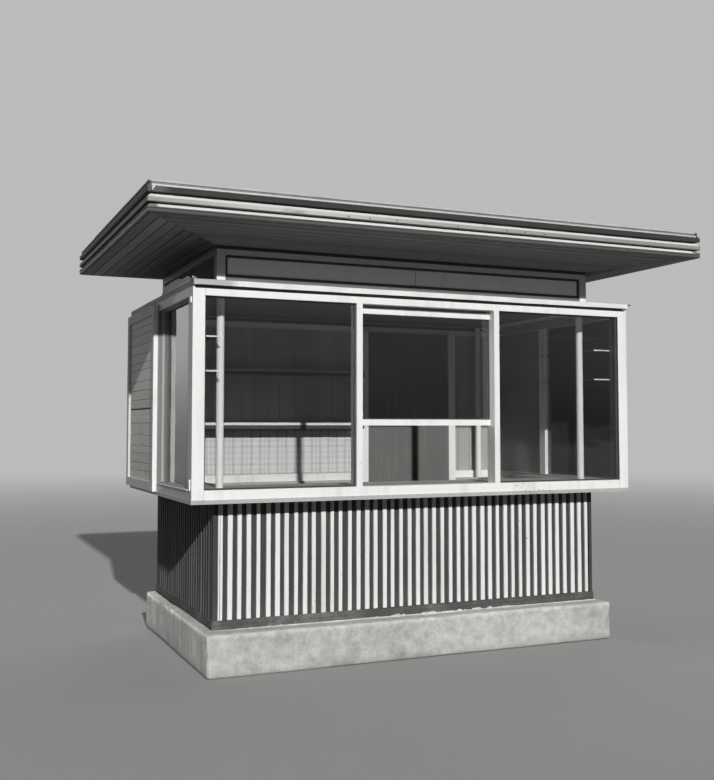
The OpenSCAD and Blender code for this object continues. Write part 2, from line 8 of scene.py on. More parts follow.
import bpy
import numpy as np
from bpy.props import FloatProperty, FloatVectorProperty, IntProperty, PointerProperty
from mathutils import Matrix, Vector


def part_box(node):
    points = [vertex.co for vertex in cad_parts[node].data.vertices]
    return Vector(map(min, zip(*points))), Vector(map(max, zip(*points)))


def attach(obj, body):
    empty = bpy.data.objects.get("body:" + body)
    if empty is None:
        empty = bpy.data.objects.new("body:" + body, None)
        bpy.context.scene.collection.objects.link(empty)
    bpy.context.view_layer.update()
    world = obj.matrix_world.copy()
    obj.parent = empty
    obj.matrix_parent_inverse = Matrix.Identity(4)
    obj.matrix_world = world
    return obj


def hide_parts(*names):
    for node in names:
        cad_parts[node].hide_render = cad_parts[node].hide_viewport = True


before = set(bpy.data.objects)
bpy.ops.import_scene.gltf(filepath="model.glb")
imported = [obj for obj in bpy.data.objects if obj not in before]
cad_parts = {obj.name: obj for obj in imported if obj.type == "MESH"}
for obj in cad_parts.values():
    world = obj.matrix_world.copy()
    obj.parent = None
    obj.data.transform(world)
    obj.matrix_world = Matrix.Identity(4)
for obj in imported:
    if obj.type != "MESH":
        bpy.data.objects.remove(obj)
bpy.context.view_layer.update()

bl_info = {
    "name": "Street kiosk",
    "version": (1, 0, 0),
    "blender": (4, 5, 0),
    "location": "View3D > Sidebar > Kiosk",
    "description": "Dresses the frame of a timber street kiosk with boards, glazing and finishes",
    "category": "Object",
}

FRONT = np.array([0.0, -1.0, 0.0])
REAR = np.array([0.0, 1.0, 0.0])
LEFT = np.array([-1.0, 0.0, 0.0])
RIGHT = np.array([1.0, 0.0, 0.0])
UP = np.array([0.0, 0.0, 1.0])
DOWN = np.array([0.0, 0.0, -1.0])

# Camera: where it stands, the way it looks, its focal length in pixels of the 714 x 780 picture,
# and how far above the picture's middle the lens axis meets it
EYE = np.array([-2.763, -6.0555, 1.360])
GAZE = np.array([0.399, 0.915, 0.054])
FOCAL_PIXELS = 1000.8
PICTURE_HEIGHT = 780
AXIS_ABOVE_MIDDLE = 18

# What the camera sees behind the kiosk, and what its glass and metal mirror in front, behind and below
BACKDROP = (0.50, 0.50, 0.495)
MIRRORED_FRONT = (0.12, 0.12, 0.12)
MIRRORED_REAR = 0.80
MIRRORED_GROUND = (0.34, 0.34, 0.34)

# Soft light from the front and from behind
SOFT_FRONT = 0.065
SOFT_REAR = 0.17

# Heights of the joints between the boards of a shutter, from the bottom
SHUTTER_JOINTS = (1.075, 1.124, 1.186, 1.234, 1.300, 1.380, 1.470, 1.530, 1.590, 1.650, 1.725,
                  1.770, 1.830, 1.890, 1.955, 2.005)
# The joint that has opened
OPEN_JOINT = 1.470

# Where the nails show along the front of the canopy's middle batten
NAILED_AT = (-0.669, -0.545, -0.382, 0.001, 0.324, 0.447, 0.585)

# The loose sheet along the left eave: places along it and the heights of its bent-up edge
LOOSE_SHEET = ((-0.80, 2.152), (-0.76, 2.168), (-0.70, 2.175), (-0.61, 2.175), (-0.55, 2.184),
               (-0.45, 2.193), (-0.30, 2.193), (-0.17, 2.188), (-0.10, 2.151))


def unit(vector):
    """A vector, or each row of vectors, at length one."""
    return vector / np.linalg.norm(vector, axis=-1, keepdims=True)


def span(node):
    """Lowest and highest corner of a frame node, as arrays."""
    low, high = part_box(node)
    return np.array(low), np.array(high)


def length(name, description, default, least, most):
    """A length in metres, as a property."""
    return FloatProperty(name=name, description=description, default=default, min=least, max=most,
                         unit="LENGTH")


def paint(name, description, *default):
    """A colour, as a property."""
    return FloatVectorProperty(name=name, description=description, default=default, size=3,
                               min=0.0, max=1.0, subtype="COLOR")


class KioskSizes(bpy.types.PropertyGroup):
    """Sizes of the pieces that dress the frame."""

    soffit_boards: IntProperty(
        name="Soffit boards", description="Boards from the edge of the canopy to the sign band",
        default=8, min=3, max=16)
    soffit_board_t: length("Soffit board", "Thickness of a soffit board", 0.020, 0.010, 0.030)
    slat_w: length("Slat", "Width of a slat of the lower walls", 0.0255, 0.020, 0.036)
    slat_pitch: length("Slat pitch", "Distance from one slat to the next", 0.056, 0.045, 0.080)
    bead_w: length("Glazing bead", "Width of the dark bead round a pane", 0.009, 0.004, 0.020)
    shutter_frame_w: length(
        "Shutter frame", "Width of the frame round a shutter's boards", 0.055, 0.040, 0.080)
    shutter_sink: length(
        "Shutter sink", "How far the shutter's sunk panel lies below its frame", 0.018, 0.006, 0.030)
    nail_d: length("Nail head", "Diameter of a nail head", 0.010, 0.004, 0.014)
    felt_w: length("Felt sheet", "Width of one sheet of roofing felt", 0.60, 0.40, 1.10)


class KioskColours(bpy.types.PropertyGroup):
    """Colours of the finishes."""

    white_paint: paint("White paint", "Oil paint on the glazed storey's frame", 0.87, 0.865, 0.85)
    grey_paint: paint("Grey paint", "Faded paint on shutters and rear boards", 0.63, 0.625, 0.605)
    dark_stain: paint("Dark stain", "Stain on the lower walls", 0.062, 0.060, 0.058)
    soffit_stain: paint("Soffit stain", "Stain on the boards under the canopy", 0.250, 0.245, 0.237)
    bare_wood: paint("Bare wood", "Weathered bare wood of the fascia battens", 0.56, 0.545, 0.51)
    inner_wood: paint("Inner wood", "Shelves, lining and floor inside", 0.42, 0.41, 0.39)
    concrete: paint("Concrete", "Cast plinth", 0.47, 0.465, 0.445)
    zinc: paint("Zinc", "Sheet metal of the roof edges", 0.60, 0.605, 0.61)
    felt: paint("Felt", "Roofing felt", 0.10, 0.10, 0.10)
    opal: paint("Opal glass", "Panes of the sign band", 0.86, 0.87, 0.86)


# Shader wires and finishes


def wire_sum(operation, swapped=False):
    """An operator of a wire that adds a Math node, with the two sides swapped for a reflected one."""
    def apply(self, other):
        return self.finish.math(operation, *((other, self) if swapped else (self, other)))
    return apply


class Wire:
    """The output of a shader node. Sums, differences, products and powers add Math nodes."""

    def __init__(self, finish, socket):
        self.finish = finish
        self.socket = socket

    __add__ = __radd__ = wire_sum("ADD")
    __mul__ = __rmul__ = wire_sum("MULTIPLY")
    __sub__, __rsub__ = wire_sum("SUBTRACT"), wire_sum("SUBTRACT", True)
    __truediv__, __rtruediv__ = wire_sum("DIVIDE"), wire_sum("DIVIDE", True)
    __pow__, __rpow__ = wire_sum("POWER"), wire_sum("POWER", True)


def rgba(colour):
    """A wire as it is, or a plain colour with full cover."""
    return colour if isinstance(colour, Wire) else (*colour, 1.0)


def times(colour, factor):
    """A plain colour made lighter or darker."""
    return tuple(factor * value for value in colour)


class Finish:
    """The nodes of a material, or of the world, that end in one surface shader."""

    def __init__(self, name, kind="materials"):
        self.owner = getattr(bpy.data, kind).new(name)
        self.owner.use_nodes = True
        self.tree = self.owner.node_tree
        self.tree.nodes.clear()

    def add(self, kind, inputs=None, output=0, **settings):
        """Adds a node: first its settings, then the values or wires of its sockets."""
        node = self.tree.nodes.new("ShaderNode" + kind)
        for key, value in settings.items():
            setattr(node, key, value)
        for key, value in (inputs or {}).items():
            if isinstance(value, Wire):
                self.tree.links.new(value.socket, node.inputs[key])
            else:
                node.inputs[key].default_value = value
        return Wire(self, node.outputs[output]) if len(node.outputs) else None

    def math(self, operation, *values):
        return self.add("Math", dict(enumerate(values)), operation=operation)

    def place(self, source="Object", scale=(1.0, 1.0, 1.0)):
        """Object coordinates or the piece's own map, scaled."""
        return self.add("Mapping", {"Vector": self.add("TexCoord", output=source), "Scale": scale})

    def axis(self, index):
        """One coordinate of the point. Index 3 is the distance from the middle to the left or right."""
        place = self.add("SeparateXYZ", {0: self.add("TexCoord", output="Object")}, index % 3)
        return self.math("ABSOLUTE", place) if index == 3 else place

    def noise(self, place, scale=1.0, detail=3.0, roughness=0.55, distortion=0.0):
        return self.add("TexNoise", {
            "Vector": place, "Scale": scale, "Detail": detail, "Roughness": roughness,
            "Distortion": distortion})

    def runs(self, across, down):
        """Noise drawn out downwards, as rain leaves it."""
        return self.noise(self.place("Object", (across, across, down)))

    def step(self, value, low, high, kind="SMOOTHSTEP", first=0.0, last=1.0):
        """A smooth or a straight step from one number at low to another at high."""
        return self.add("MapRange", {
            "Value": value, "From Min": low, "From Max": high, "To Min": first, "To Max": last},
            interpolation_type=kind)

    def blend(self, mask, first, second):
        """The first colour where the mask is 0, and the second where it is 1."""
        return self.add("Mix", {0: mask, 6: rgba(first), 7: rgba(second)}, 2, data_type="RGBA")

    def tint(self, colour, factor):
        """A colour times a number or a wire of numbers, or a point times three numbers."""
        grey = factor
        if not isinstance(factor, tuple):
            grey = self.add("CombineXYZ", {0: factor, 1: factor, 2: factor})
        return self.add("VectorMath", {0: colour, 1: grey}, operation="MULTIPLY")

    def zoned(self, colour, zones):
        """A colour that gives way to others: a zone is (axis, start, end, colour) and takes over from
        start to end along the axis."""
        shade = colour
        for axis, start, end, other in zones:
            shade = self.blend(self.step(self.axis(axis), start, end), shade, other)
        return shade

    def surface(self, colour, height, depth, **sockets):
        """Ends the finish in a Principled shader with the relief of a wire of heights between 0 and 1
        and its depth, and returns the material."""
        normal = self.add("Bump", {"Height": height, "Distance": depth})
        shader = self.add("BsdfPrincipled", {"Base Color": rgba(colour), "Normal": normal, **sockets})
        self.add("OutputMaterial", {0: shader})
        return self.owner


def beyond(axis, place, colour):
    """A zone with a sharp edge at a place along an axis."""
    return (axis, place - 0.0005, place + 0.0005, colour)


def grain_place(finish, run, along=1.6, across=38.0):
    """Coordinates that are stretched along the run of the wood: x, y, z, level boards, or the map."""
    if run in ("x", "y", "z"):
        return finish.place("Object", tuple(along if run == axis else across for axis in "xyz"))
    if run == "map":
        return finish.place("UV", (along, across, 1.0))
    level = finish.axis(0) + finish.axis(1)
    return finish.add("CombineXYZ", {0: level * along, 2: finish.axis(2) * across})


def board_tone(finish, run):
    """A number that differs from board to board, or one half on a frame node."""
    if run != "map":
        return 0.5
    return finish.add("Attribute", output=2, attribute_name="tone")


def painted_wood(name, colour, run, wear=0.0, grime=0.10, joint=None, zones=()):
    """Old oil paint: brush marks along the wood, rain streaks, soft grime and chips down to wood. A
    joint is a crack at that distance from the middle."""
    f = Finish(name)
    brush = f.noise(grain_place(f, run), 1.0, 4.0, 0.6)
    here = f.place()
    cloud = f.noise(here, 2.3)
    speck = f.noise(here, 55.0, 2.0, 0.6)
    dirt = f.step(f.runs(16.0, 0.9) * 0.6 + cloud * 0.5, 0.50, 0.78) * grime
    fresh = f.tint(f.zoned(colour, zones), 0.93 + brush * 0.14)
    dirty = f.blend(dirt, fresh, (0.20, 0.185, 0.16))
    chips = f.step(speck * 0.55 + cloud * 0.45 + wear * 0.12, 0.672, 0.688)
    shade = f.blend(chips, dirty, (0.30, 0.27, 0.23))
    height = brush * 0.35 + (1 - chips) * 0.65
    if joint:
        crack = 1 - f.step(f.math("ABSOLUTE", f.axis(3) - joint), 0.0003, 0.0014)
        shade = f.blend(crack * 0.75, shade, (0.10, 0.09, 0.08))
        height = height * (1 - crack)
    return f.surface(shade, height, 0.0006, Roughness=0.38 + brush * 0.22 + chips * 0.25)


def board_paint(name, colour, run, zones=()):
    """Thin faded paint on boards: each board has its own tone, and the grain and its knots show."""
    f = Finish(name)
    fibre = f.noise(grain_place(f, run, 2.2, 60.0), 1.0, 5.0, 0.65, 0.3)
    cloud = f.noise(f.place(), 3.1)
    thin = f.tint(f.zoned(colour, zones), 0.74 + fibre * 0.30 + board_tone(f, run) * 0.22)
    bare = f.step(fibre * 0.6 + cloud * 0.5, 0.60, 0.72)
    shade = f.blend(bare * 0.30, thin, (0.26, 0.24, 0.21))
    return f.surface(shade, fibre, 0.0010, Roughness=0.62 + fibre * 0.2)


def stained_wood(name, colour, run, dust=(0.28, 0.27, 0.255), dusty=0.25, dust_z=None, zones=()):
    """Dark stained boards: open grain, worn spots and dust, which lies thicker low down."""
    f = Finish(name)
    fibre = f.noise(grain_place(f, run, 2.0, 70.0), 1.0, 5.0, 0.65, 0.2)
    here = f.place()
    cloud = f.noise(here, 5.0, 4.0, 0.6)
    speck = f.noise(here, 70.0, 2.0)
    wood = f.tint(f.zoned(colour, zones), 0.55 + fibre * 0.55 + board_tone(f, run) * 0.40)
    cover = f.step(cloud * 0.6 + speck * 0.25 + fibre * 0.25, 0.48, 0.78) * dusty
    if dust_z:
        cover = cover + (1 - f.step(f.axis(2), *dust_z)) * 0.12 * cloud
    return f.surface(f.blend(cover, wood, dust), fibre, 0.0012, Roughness=0.72 + fibre * 0.18)


def weathered_wood(name, colour, run, zones=(), worn=0.55):
    """Bare battens gone grey: long fibres, dark knots and water marks."""
    f = Finish(name)
    fibre = f.noise(grain_place(f, run, 1.8, 90.0), 1.0, 6.0, 0.7, 0.4)
    blot = f.noise(grain_place(f, run, 4.0, 14.0))
    wood = f.tint(f.zoned(colour, zones), 0.66 + fibre * 0.42 + board_tone(f, run) * 0.14)
    mark = f.step(blot, 0.56, 0.72) * worn
    return f.surface(f.blend(mark, wood, (0.17, 0.155, 0.14)), fibre, 0.0012, Roughness=0.80)


def cast_concrete(name, colour, zones=(), corner=None):
    """Cast concrete: sand, air holes, palm-sized clouds and rain runs. Where a corner is given, its
    upper edges are pale and worn, and its left and right ends are streaked more."""
    f = Finish(name)
    here = f.place()
    cloud = f.noise(here, 3.0, 4.0, 0.6)
    patch = f.noise(here, 17.0, 5.0, 0.62)
    sand = f.noise(here, 420.0, 2.0, 0.7)
    speck = f.noise(here, 75.0, 3.0, 0.6)
    holes = 1 - f.step(f.add("TexVoronoi", {"Vector": here, "Scale": 46.0}), 0.06, 0.15)
    pits = holes * f.step(f.noise(here, 17.0, 1.0), 0.52, 0.62)
    light = -0.44 + cloud * 1.15 + patch * 1.20 + speck * 0.52 + sand * 0.12
    streaks = 0.12
    if corner is not None:
        side, edge = corner[0], corner[2]
        light = light + f.step(f.axis(2) + patch * 0.02, edge - 0.024, edge + 0.002) * 0.20
        streaks = f.step(f.axis(3), side - 0.006, side - 0.002) * 0.34 + 0.08
    base = f.zoned(colour, zones)
    dark = f.tint(base, 0.42)
    stain = f.step(f.runs(17.0, 1.3) * 0.7 + patch * 0.35, 0.50, 0.74) * streaks
    shade = f.blend(stain, f.tint(base, light), dark)
    shade = f.blend((1 - f.step(f.axis(2), 0.0, 0.060)) * 0.30, shade, dark)
    shade = f.blend(pits, shade, f.tint(base, 0.30))
    height = sand * 0.25 + patch * 0.45 + (1 - pits) * 0.30
    return f.surface(shade, height, 0.0035, Roughness=0.88)


def sheet_metal(name, colour, spots=0.35, zones=(), metal=0.55):
    """Weathered zinc: dull and cloudy, with darker spots and runs."""
    f = Finish(name)
    here = f.place()
    cloud = f.noise(here, 7.0, 4.0, 0.6)
    speck = f.noise(here, 90.0, 2.0, 0.6)
    clean = f.tint(f.zoned(colour, zones), 0.62 + cloud * 0.45 + speck * 0.16)
    rust = f.step(f.runs(24.0, 2.0) * 0.5 + speck * 0.5, 0.58, 0.70) * spots
    return f.surface(f.blend(rust, clean, (0.20, 0.165, 0.13)), cloud * 0.7 + speck * 0.3, 0.0012,
                     Metallic=metal - rust * metal, Roughness=0.46 + cloud * 0.22)


def iron(name):
    """Old iron fittings with a skin of rust."""
    f = Finish(name)
    rust = f.noise(f.place(), 120.0, 4.0, 0.65)
    mask = f.step(rust, 0.45, 0.62)
    return f.surface(f.blend(mask, (0.16, 0.145, 0.13), (0.20, 0.12, 0.075)), rust, 0.0005,
                     Metallic=0.6 - mask * 0.5, Roughness=0.5 + mask * 0.35)


def roofing_felt(name, colour):
    """Tarred felt with grit and patches of dust."""
    f = Finish(name)
    here = f.place()
    grit = f.noise(here, 380.0, 2.0, 0.7)
    dust = f.step(f.noise(here, 2.2, 5.0, 0.6), 0.42, 0.70) * 0.55
    shade = f.blend(dust, f.tint(colour, 0.6 + grit * 0.9), (0.24, 0.23, 0.21))
    return f.surface(shade, grit, 0.0020, Roughness=0.93)


def clear_glass(name, dust=0.015):
    """A thin pane: it mirrors by the law of two glass faces and lets the rest straight through."""
    f = Finish(name)
    one = f.add("Fresnel", {"IOR": 1.5})
    both = 2 * one / (1 + one)
    here = f.place()
    veil = f.step(f.noise(here, 3.0, 4.0, 0.6), 0.35, 0.80) * dust
    return f.surface((0.86, 0.88, 0.88), f.noise(here, 5.0, 1.0), 0.0012, Metallic=1.0,
                     Roughness=0.02, Alpha=both + veil)


def opal_glass(name, colour):
    """Opal sign panes: milky and glossy, with runs of dust."""
    f = Finish(name)
    cloud = f.noise(f.place(), 4.0)
    dust = f.step(f.runs(20.0, 2.5) * 0.6 + cloud * 0.4, 0.50, 0.75) * 0.20
    shade = f.blend(dust, f.tint(colour, 0.93 + cloud * 0.12), (0.30, 0.285, 0.26))
    return f.surface(shade, cloud, 0.0006, Roughness=0.16 + cloud * 0.10)


def checked_cloth(name, colour):
    """Oilcloth with a plain woven check: faded bands cross at right angles and darken where they meet."""
    f = Finish(name)
    here = f.place()
    fold = f.noise(here, 9.0, 2.0) * 0.010
    cross = f.axis(0) + fold
    rise = f.axis(2) + fold * 0.4
    check = 0
    for value, pitch, width, strength in ((cross + 0.786, 0.066, 0.020, 0.22),
                                          (rise - 1.258, 0.042, 0.014, 0.10),
                                          (cross + 0.753, 0.132, 0.012, 0.15),
                                          (rise - 1.216, 0.126, 0.009, 0.06)):
        wave = f.math("PINGPONG", value, pitch / 2)
        band = 1 - f.step(wave, width / 2 - 0.003, width / 2 + 0.003)
        check = band * strength + check
    fade = f.noise(here, 13.0, 3.0, 0.6)
    weave = f.noise(f.place("Object", (900.0, 900.0, 900.0)), 1.0, 1.0)
    shade = f.tint(colour, 1.0 - check * (0.45 + fade) + weave * 0.06)
    return f.surface(shade, weave, 0.0003, Roughness=0.55)


# Shapes worked out as arrays


def waver(rng, count, lengths, along, size):
    """A sum of three sines of the way along each plank, with random phases: (count, steps)."""
    total = np.zeros((count, len(along)))
    for waves, share in ((0.7, 0.5), (1.9, 0.3), (4.3, 0.2)):
        phase = rng.uniform(0, 2 * np.pi, (count, 1))
        total += share * np.sin(2 * np.pi * waves * along[None] * lengths[:, None] + phase)
    return size * total


def planks(quads, outward, thick, chamfer=0.0012, steps=1, sway=0.0, lift=0.0, seed=1):
    """Planks as closed shells. Each is given by its outer face: edge a from start to end, then edge b.

    A point of the skin is a(s) + u * (b(s) - a(s)) - d * outward, where s runs along the plank and
    (u, d) runs round a rectangle with cut corners. Both edges sway sideways by a sum of sines of s,
    and each plank lies a little higher or lower than the next."""
    quads = np.asarray(quads, float).reshape(-1, 4, 3)
    count = len(quads)
    outward = np.broadcast_to(np.asarray(outward, float), (count, 3))
    a0, a1, b0, b1 = (quads[:, k] for k in range(4))
    turn = np.einsum("ij,ij->i", np.cross(a1 - a0, b0 - a0), outward) < 0
    a0, b0 = np.where(turn[:, None], b0, a0), np.where(turn[:, None], a0, b0)
    a1, b1 = np.where(turn[:, None], b1, a1), np.where(turn[:, None], a1, b1)
    rng = np.random.default_rng(seed)
    lengths = np.linalg.norm((a1 + b1 - a0 - b0) / 2, axis=1)
    across = (b0 + b1 - a0 - a1) / 2
    widths = np.linalg.norm(across, axis=1)
    across = across / widths[:, None]
    thick = np.broadcast_to(np.asarray(thick, float), (count,))
    s = np.linspace(0, 1, steps + 1)
    edge_a = a0[:, None] + s[None, :, None] * (a1 - a0)[:, None]
    edge_b = b0[:, None] + s[None, :, None] * (b1 - b0)[:, None]
    if sway:
        edge_a = edge_a + waver(rng, count, lengths, s, sway)[..., None] * across[:, None]
        edge_b = edge_b + waver(rng, count, lengths, s, sway)[..., None] * across[:, None]
    level = rng.uniform(-1, 1, (count, 1)) * lift + waver(rng, count, lengths, s, lift * 0.5)
    cut = np.minimum(chamfer / widths, 0.3)[:, None]
    zero, one = np.zeros((count, 1)), np.ones((count, 1))
    u = np.hstack([cut, 1 - cut, one, one, 1 - cut, cut, zero, zero])
    c, t = np.full((count, 1), chamfer), thick[:, None]
    d = np.hstack([zero, zero, c, t - c, t, t, t - c, c])
    verts = (edge_a[:, :, None] * (1 - u[:, None, :, None]) + edge_b[:, :, None] * u[:, None, :, None]
             + outward[:, None, None] * (level[:, :, None] - d[:, None, :])[..., None])
    index = np.arange(verts.size // 3).reshape(count, steps + 1, 8)
    after = np.roll(index, -1, axis=2)
    sides = np.stack([index[:, :-1], index[:, 1:], after[:, 1:], after[:, :-1]], -1).reshape(-1, 4)
    caps = np.concatenate([index[:, 0], index[:, -1, ::-1]])
    corners = np.dstack([np.hstack([u, u[:, :1]]) * widths[:, None], np.hstack([d, d[:, :1]])])
    ring = np.cumsum(np.linalg.norm(np.diff(corners, axis=1), axis=2), axis=1)
    ring = np.hstack([zero, ring])
    shift = rng.uniform(0, 20, (count, 2))
    along = s[None, :] * lengths[:, None] + shift[:, :1]
    round_ = ring + shift[:, 1:]
    uv = np.empty((count, steps, 8, 4, 2))
    for k, (i, j) in enumerate(((0, 0), (1, 0), (1, 1), (0, 1))):
        uv[..., k, 0] = along[:, i:steps + i, None]
        uv[..., k, 1] = round_[:, None, j:8 + j]
    cap_uv = np.empty((2 * count, 8, 2))
    cap_uv[:, :, 0] = np.concatenate([along[:, :1], along[:, -1:]])
    cap_uv[:count, :, 1] = round_[:, :8]
    cap_uv[count:, :, 1] = round_[:, 7::-1]
    tone = np.repeat(rng.uniform(0, 1, count), (steps + 1) * 8)
    return {"verts": verts.reshape(-1, 3), "faces": [sides, caps],
            "uv": [uv.reshape(-1, 2), cap_uv.reshape(-1, 2)], "tone": tone}


def tube(rings):
    """Closed shells through rings of points, an array (shells, rings, points, 3), capped at the ends."""
    index = np.arange(rings.size // 3).reshape(rings.shape[:3])
    after = np.roll(index, -1, axis=2)
    walls = np.stack([index[:, :-1], after[:, :-1], after[:, 1:], index[:, 1:]], -1).reshape(-1, 4)
    caps = np.concatenate([index[:, 0, ::-1], index[:, -1]])
    return {"verts": rings.reshape(-1, 3), "faces": [walls, caps],
            "uv": [np.zeros((walls.size, 2)), np.zeros((caps.size, 2))], "tone": np.full(index.size, 0.5)}


def turned(places, axis, profile, sides=8):
    """Turned pieces: a profile of (radius, height) spun round an axis at each place."""
    first = unit(np.cross(axis, UP if abs(axis[2]) < 0.9 else RIGHT))
    profile = np.asarray(profile, float)[..., None, None]
    angle = np.linspace(0, 2 * np.pi, sides, endpoint=False)[:, None]
    rim = np.cos(angle) * first + np.sin(angle) * np.cross(axis, first)
    return tube(np.asarray(places)[:, None, None] + profile[:, 0] * rim + profile[:, 1] * axis)


def nails(places, outward, diameter):
    """Domed nail heads on a surface: small turned caps."""
    r = diameter / 2
    return turned(places, outward, ((r, -0.002), (r, 0.0004), (0.75 * r, 0.0014), (0.3 * r, 0.0019)))


def round_wire(path, radius, sides=8):
    """A round wire: a circle of the radius carried along a path, square to it at each point."""
    ahead = unit(np.gradient(path, axis=0))
    side = unit(np.cross(ahead, RIGHT + 0.01 * UP))
    over = np.cross(ahead, side)
    angle = np.linspace(0, 2 * np.pi, sides, endpoint=False)[:, None]
    ring = np.cos(angle) * side[:, None] + np.sin(angle) * over[:, None]
    return tube((path[:, None] + radius * ring)[None])


def sheet(top, bottom):
    """A closed slab between two grids of points, the outer one first."""
    index = np.arange(2 * top[..., 0].size).reshape(2, *top.shape[:2])
    up, low = index
    faces = [np.stack([up[:-1, :-1], up[1:, :-1], up[1:, 1:], up[:-1, 1:]], -1).reshape(-1, 4),
             np.stack([low[:-1, :-1], low[:-1, 1:], low[1:, 1:], low[1:, :-1]], -1).reshape(-1, 4)]
    rims = [np.concatenate([grid[:-1, 0], grid[-1, :-1], grid[:0:-1, -1], grid[0, :0:-1]])
            for grid in index]
    faces.append(np.stack([*rims, np.roll(rims[1], -1), np.roll(rims[0], -1)], -1))
    faces = np.concatenate(faces)
    ways = [np.concatenate([[0], np.cumsum(np.linalg.norm(np.diff(top, axis=k), axis=2).mean(1 - k))])
            for k in (0, 1)]
    uv = np.tile(np.stack(np.meshgrid(*ways, indexing="ij"), -1).reshape(-1, 2), (2, 1))
    return {"verts": np.concatenate([top.reshape(-1, 3), bottom.reshape(-1, 3)]), "faces": [faces],
            "uv": [uv[faces].reshape(-1, 2)], "tone": np.full(len(uv), 0.5)}


def lattice_noise(points, size, seed):
    """Smooth noise from -1 to 1: random values at the corners of a lattice, blended in each cell."""
    table = np.random.default_rng(seed).uniform(-1, 1, 4096)
    scaled = points / size
    base = np.floor(scaled).astype(np.int64)
    part = scaled - base
    part = part * part * (3 - 2 * part)
    total = np.zeros(points.shape[:-1])
    for offset in np.ndindex(2, 2, 2):
        cell = base + offset
        key = (cell[..., 0] * 73856093 ^ cell[..., 1] * 19349663 ^ cell[..., 2] * 83492791) & 4095
        total += table[key] * np.prod(np.where(offset, part, 1 - part), axis=-1)
    return total


def cast_block(low, high, cell, radius, rough):
    """A block with rounded edges: a point of the box is drawn to the nearest point of a box that is
    smaller by the radius, then pushed out by the radius, and last moved along its normal by rough."""
    counts = np.maximum(np.round((high - low) / cell).astype(int), 2)
    verts, faces, start = [], [], 0
    for axis in range(3):
        u, v = (axis + 1) % 3, (axis + 2) % 3
        for side in (0, 1):
            gu, gv = np.meshgrid(np.linspace(low[u], high[u], counts[u] + 1),
                                 np.linspace(low[v], high[v], counts[v] + 1), indexing="ij")
            p = np.empty(gu.shape + (3,))
            p[..., u], p[..., v] = gu, gv
            p[..., axis] = (low, high)[side][axis]
            inner = np.clip(p, low + radius, high - radius)
            normal = unit(p - inner)
            p = inner + radius * normal
            p = p + normal * rough(p)[..., None]
            index = np.arange(gu.size).reshape(gu.shape) + start
            quad = np.stack([index[:-1, :-1], index[1:, :-1], index[1:, 1:], index[:-1, 1:]], -1)
            faces.append(quad.reshape(-1, 4)[:, :: 1 if side else -1])
            verts.append(p.reshape(-1, 3))
            start += gu.size
    verts, faces = np.concatenate(verts), np.concatenate(faces)
    verts[:, 2] = np.maximum(verts[:, 2], low[2])
    _, first, back = np.unique(np.round(verts, 6), axis=0, return_index=True, return_inverse=True)
    faces = back.reshape(-1)[faces]
    verts = verts[first]
    uv = verts[faces][..., :2].reshape(-1, 2)
    return {"verts": verts, "faces": [faces], "uv": [uv], "tone": np.full(len(verts), 0.5)}


def make_piece(name, shells, finish, replaced=(), smooth=False):
    """One mesh object from shells, riding on the kiosk's only body, with a finish by its plain name."""
    shells = shells if isinstance(shells, list) else [shells]
    verts = np.concatenate([shell["verts"] for shell in shells])
    loops, sizes, uvs, start = [], [], [], 0
    for shell in shells:
        for faces, uv in zip(shell["faces"], shell["uv"]):
            loops.append((faces + start).reshape(-1))
            sizes.append(np.full(len(faces), faces.shape[1]))
            uvs.append(uv)
        start += len(shell["verts"])
    loops, sizes, uvs = np.concatenate(loops), np.concatenate(sizes), np.concatenate(uvs)
    mesh = bpy.data.meshes.new(name)
    mesh.vertices.add(len(verts))
    mesh.vertices.foreach_set("co", verts.astype(np.float32).ravel())
    mesh.loops.add(len(loops))
    mesh.loops.foreach_set("vertex_index", loops.astype(np.int32))
    mesh.polygons.add(len(sizes))
    starts = np.concatenate([[0], np.cumsum(sizes)[:-1]])
    mesh.polygons.foreach_set("loop_start", starts.astype(np.int32))
    mesh.update(calc_edges=True)
    layer = mesh.uv_layers.new(name="UVMap")
    layer.uv.foreach_set("vector", uvs.astype(np.float32).ravel())
    tone = mesh.attributes.new("tone", "FLOAT", "POINT")
    tone.data.foreach_set("value", np.concatenate([s["tone"] for s in shells]).astype(np.float32))
    mesh.polygons.foreach_set("use_smooth", np.full(len(sizes), smooth))
    if mesh.validate(verbose=False):
        raise ValueError(f"the mesh of {name} had faults")
    mesh.materials.append(finishes()[finish])
    piece = bpy.data.objects.new(name, mesh)
    bpy.context.scene.collection.objects.link(piece)
    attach(piece, "root")
    if replaced:
        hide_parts(*replaced)
    return piece


def face_quads(outward, level, first, second, rise=True):
    """Outer faces of boards in an upright plane at the level: arrays of (low, high) along the plane's
    level axis and along Z. Upright boards run along Z, and the others along the level axis."""
    axis = 0 if abs(outward[1]) > 0.5 else 1
    first, second = np.asarray(first, float).reshape(-1, 2), np.asarray(second, float).reshape(-1, 2)
    count = max(len(first), len(second))
    first, second = np.broadcast_to(first, (count, 2)), np.broadcast_to(second, (count, 2))
    quads = np.empty((count, 4, 3))
    quads[..., 1 - axis] = level
    picks = ((0, 0), (0, 1), (1, 0), (1, 1)) if rise else ((0, 0), (1, 0), (0, 1), (1, 1))
    for k, (i, j) in enumerate(picks):
        quads[:, k, axis] = first[:, i]
        quads[:, k, 2] = second[:, j]
    return quads


def boards(side, level, along, heights, *shape, rise=False, **more):
    """Planks on an upright plane: level ones, or upright ones with rise."""
    return planks(face_quads(side, level, along, heights, rise), side, *shape, **more)


def level_quads(x, places, z):
    """Faces of boards that lie level at z and run along X, each between two places along Y."""
    return [[(x[0], y0, z), (x[1], y0, z), (x[0], y1, z), (x[1], y1, z)] for y0, y1 in places]


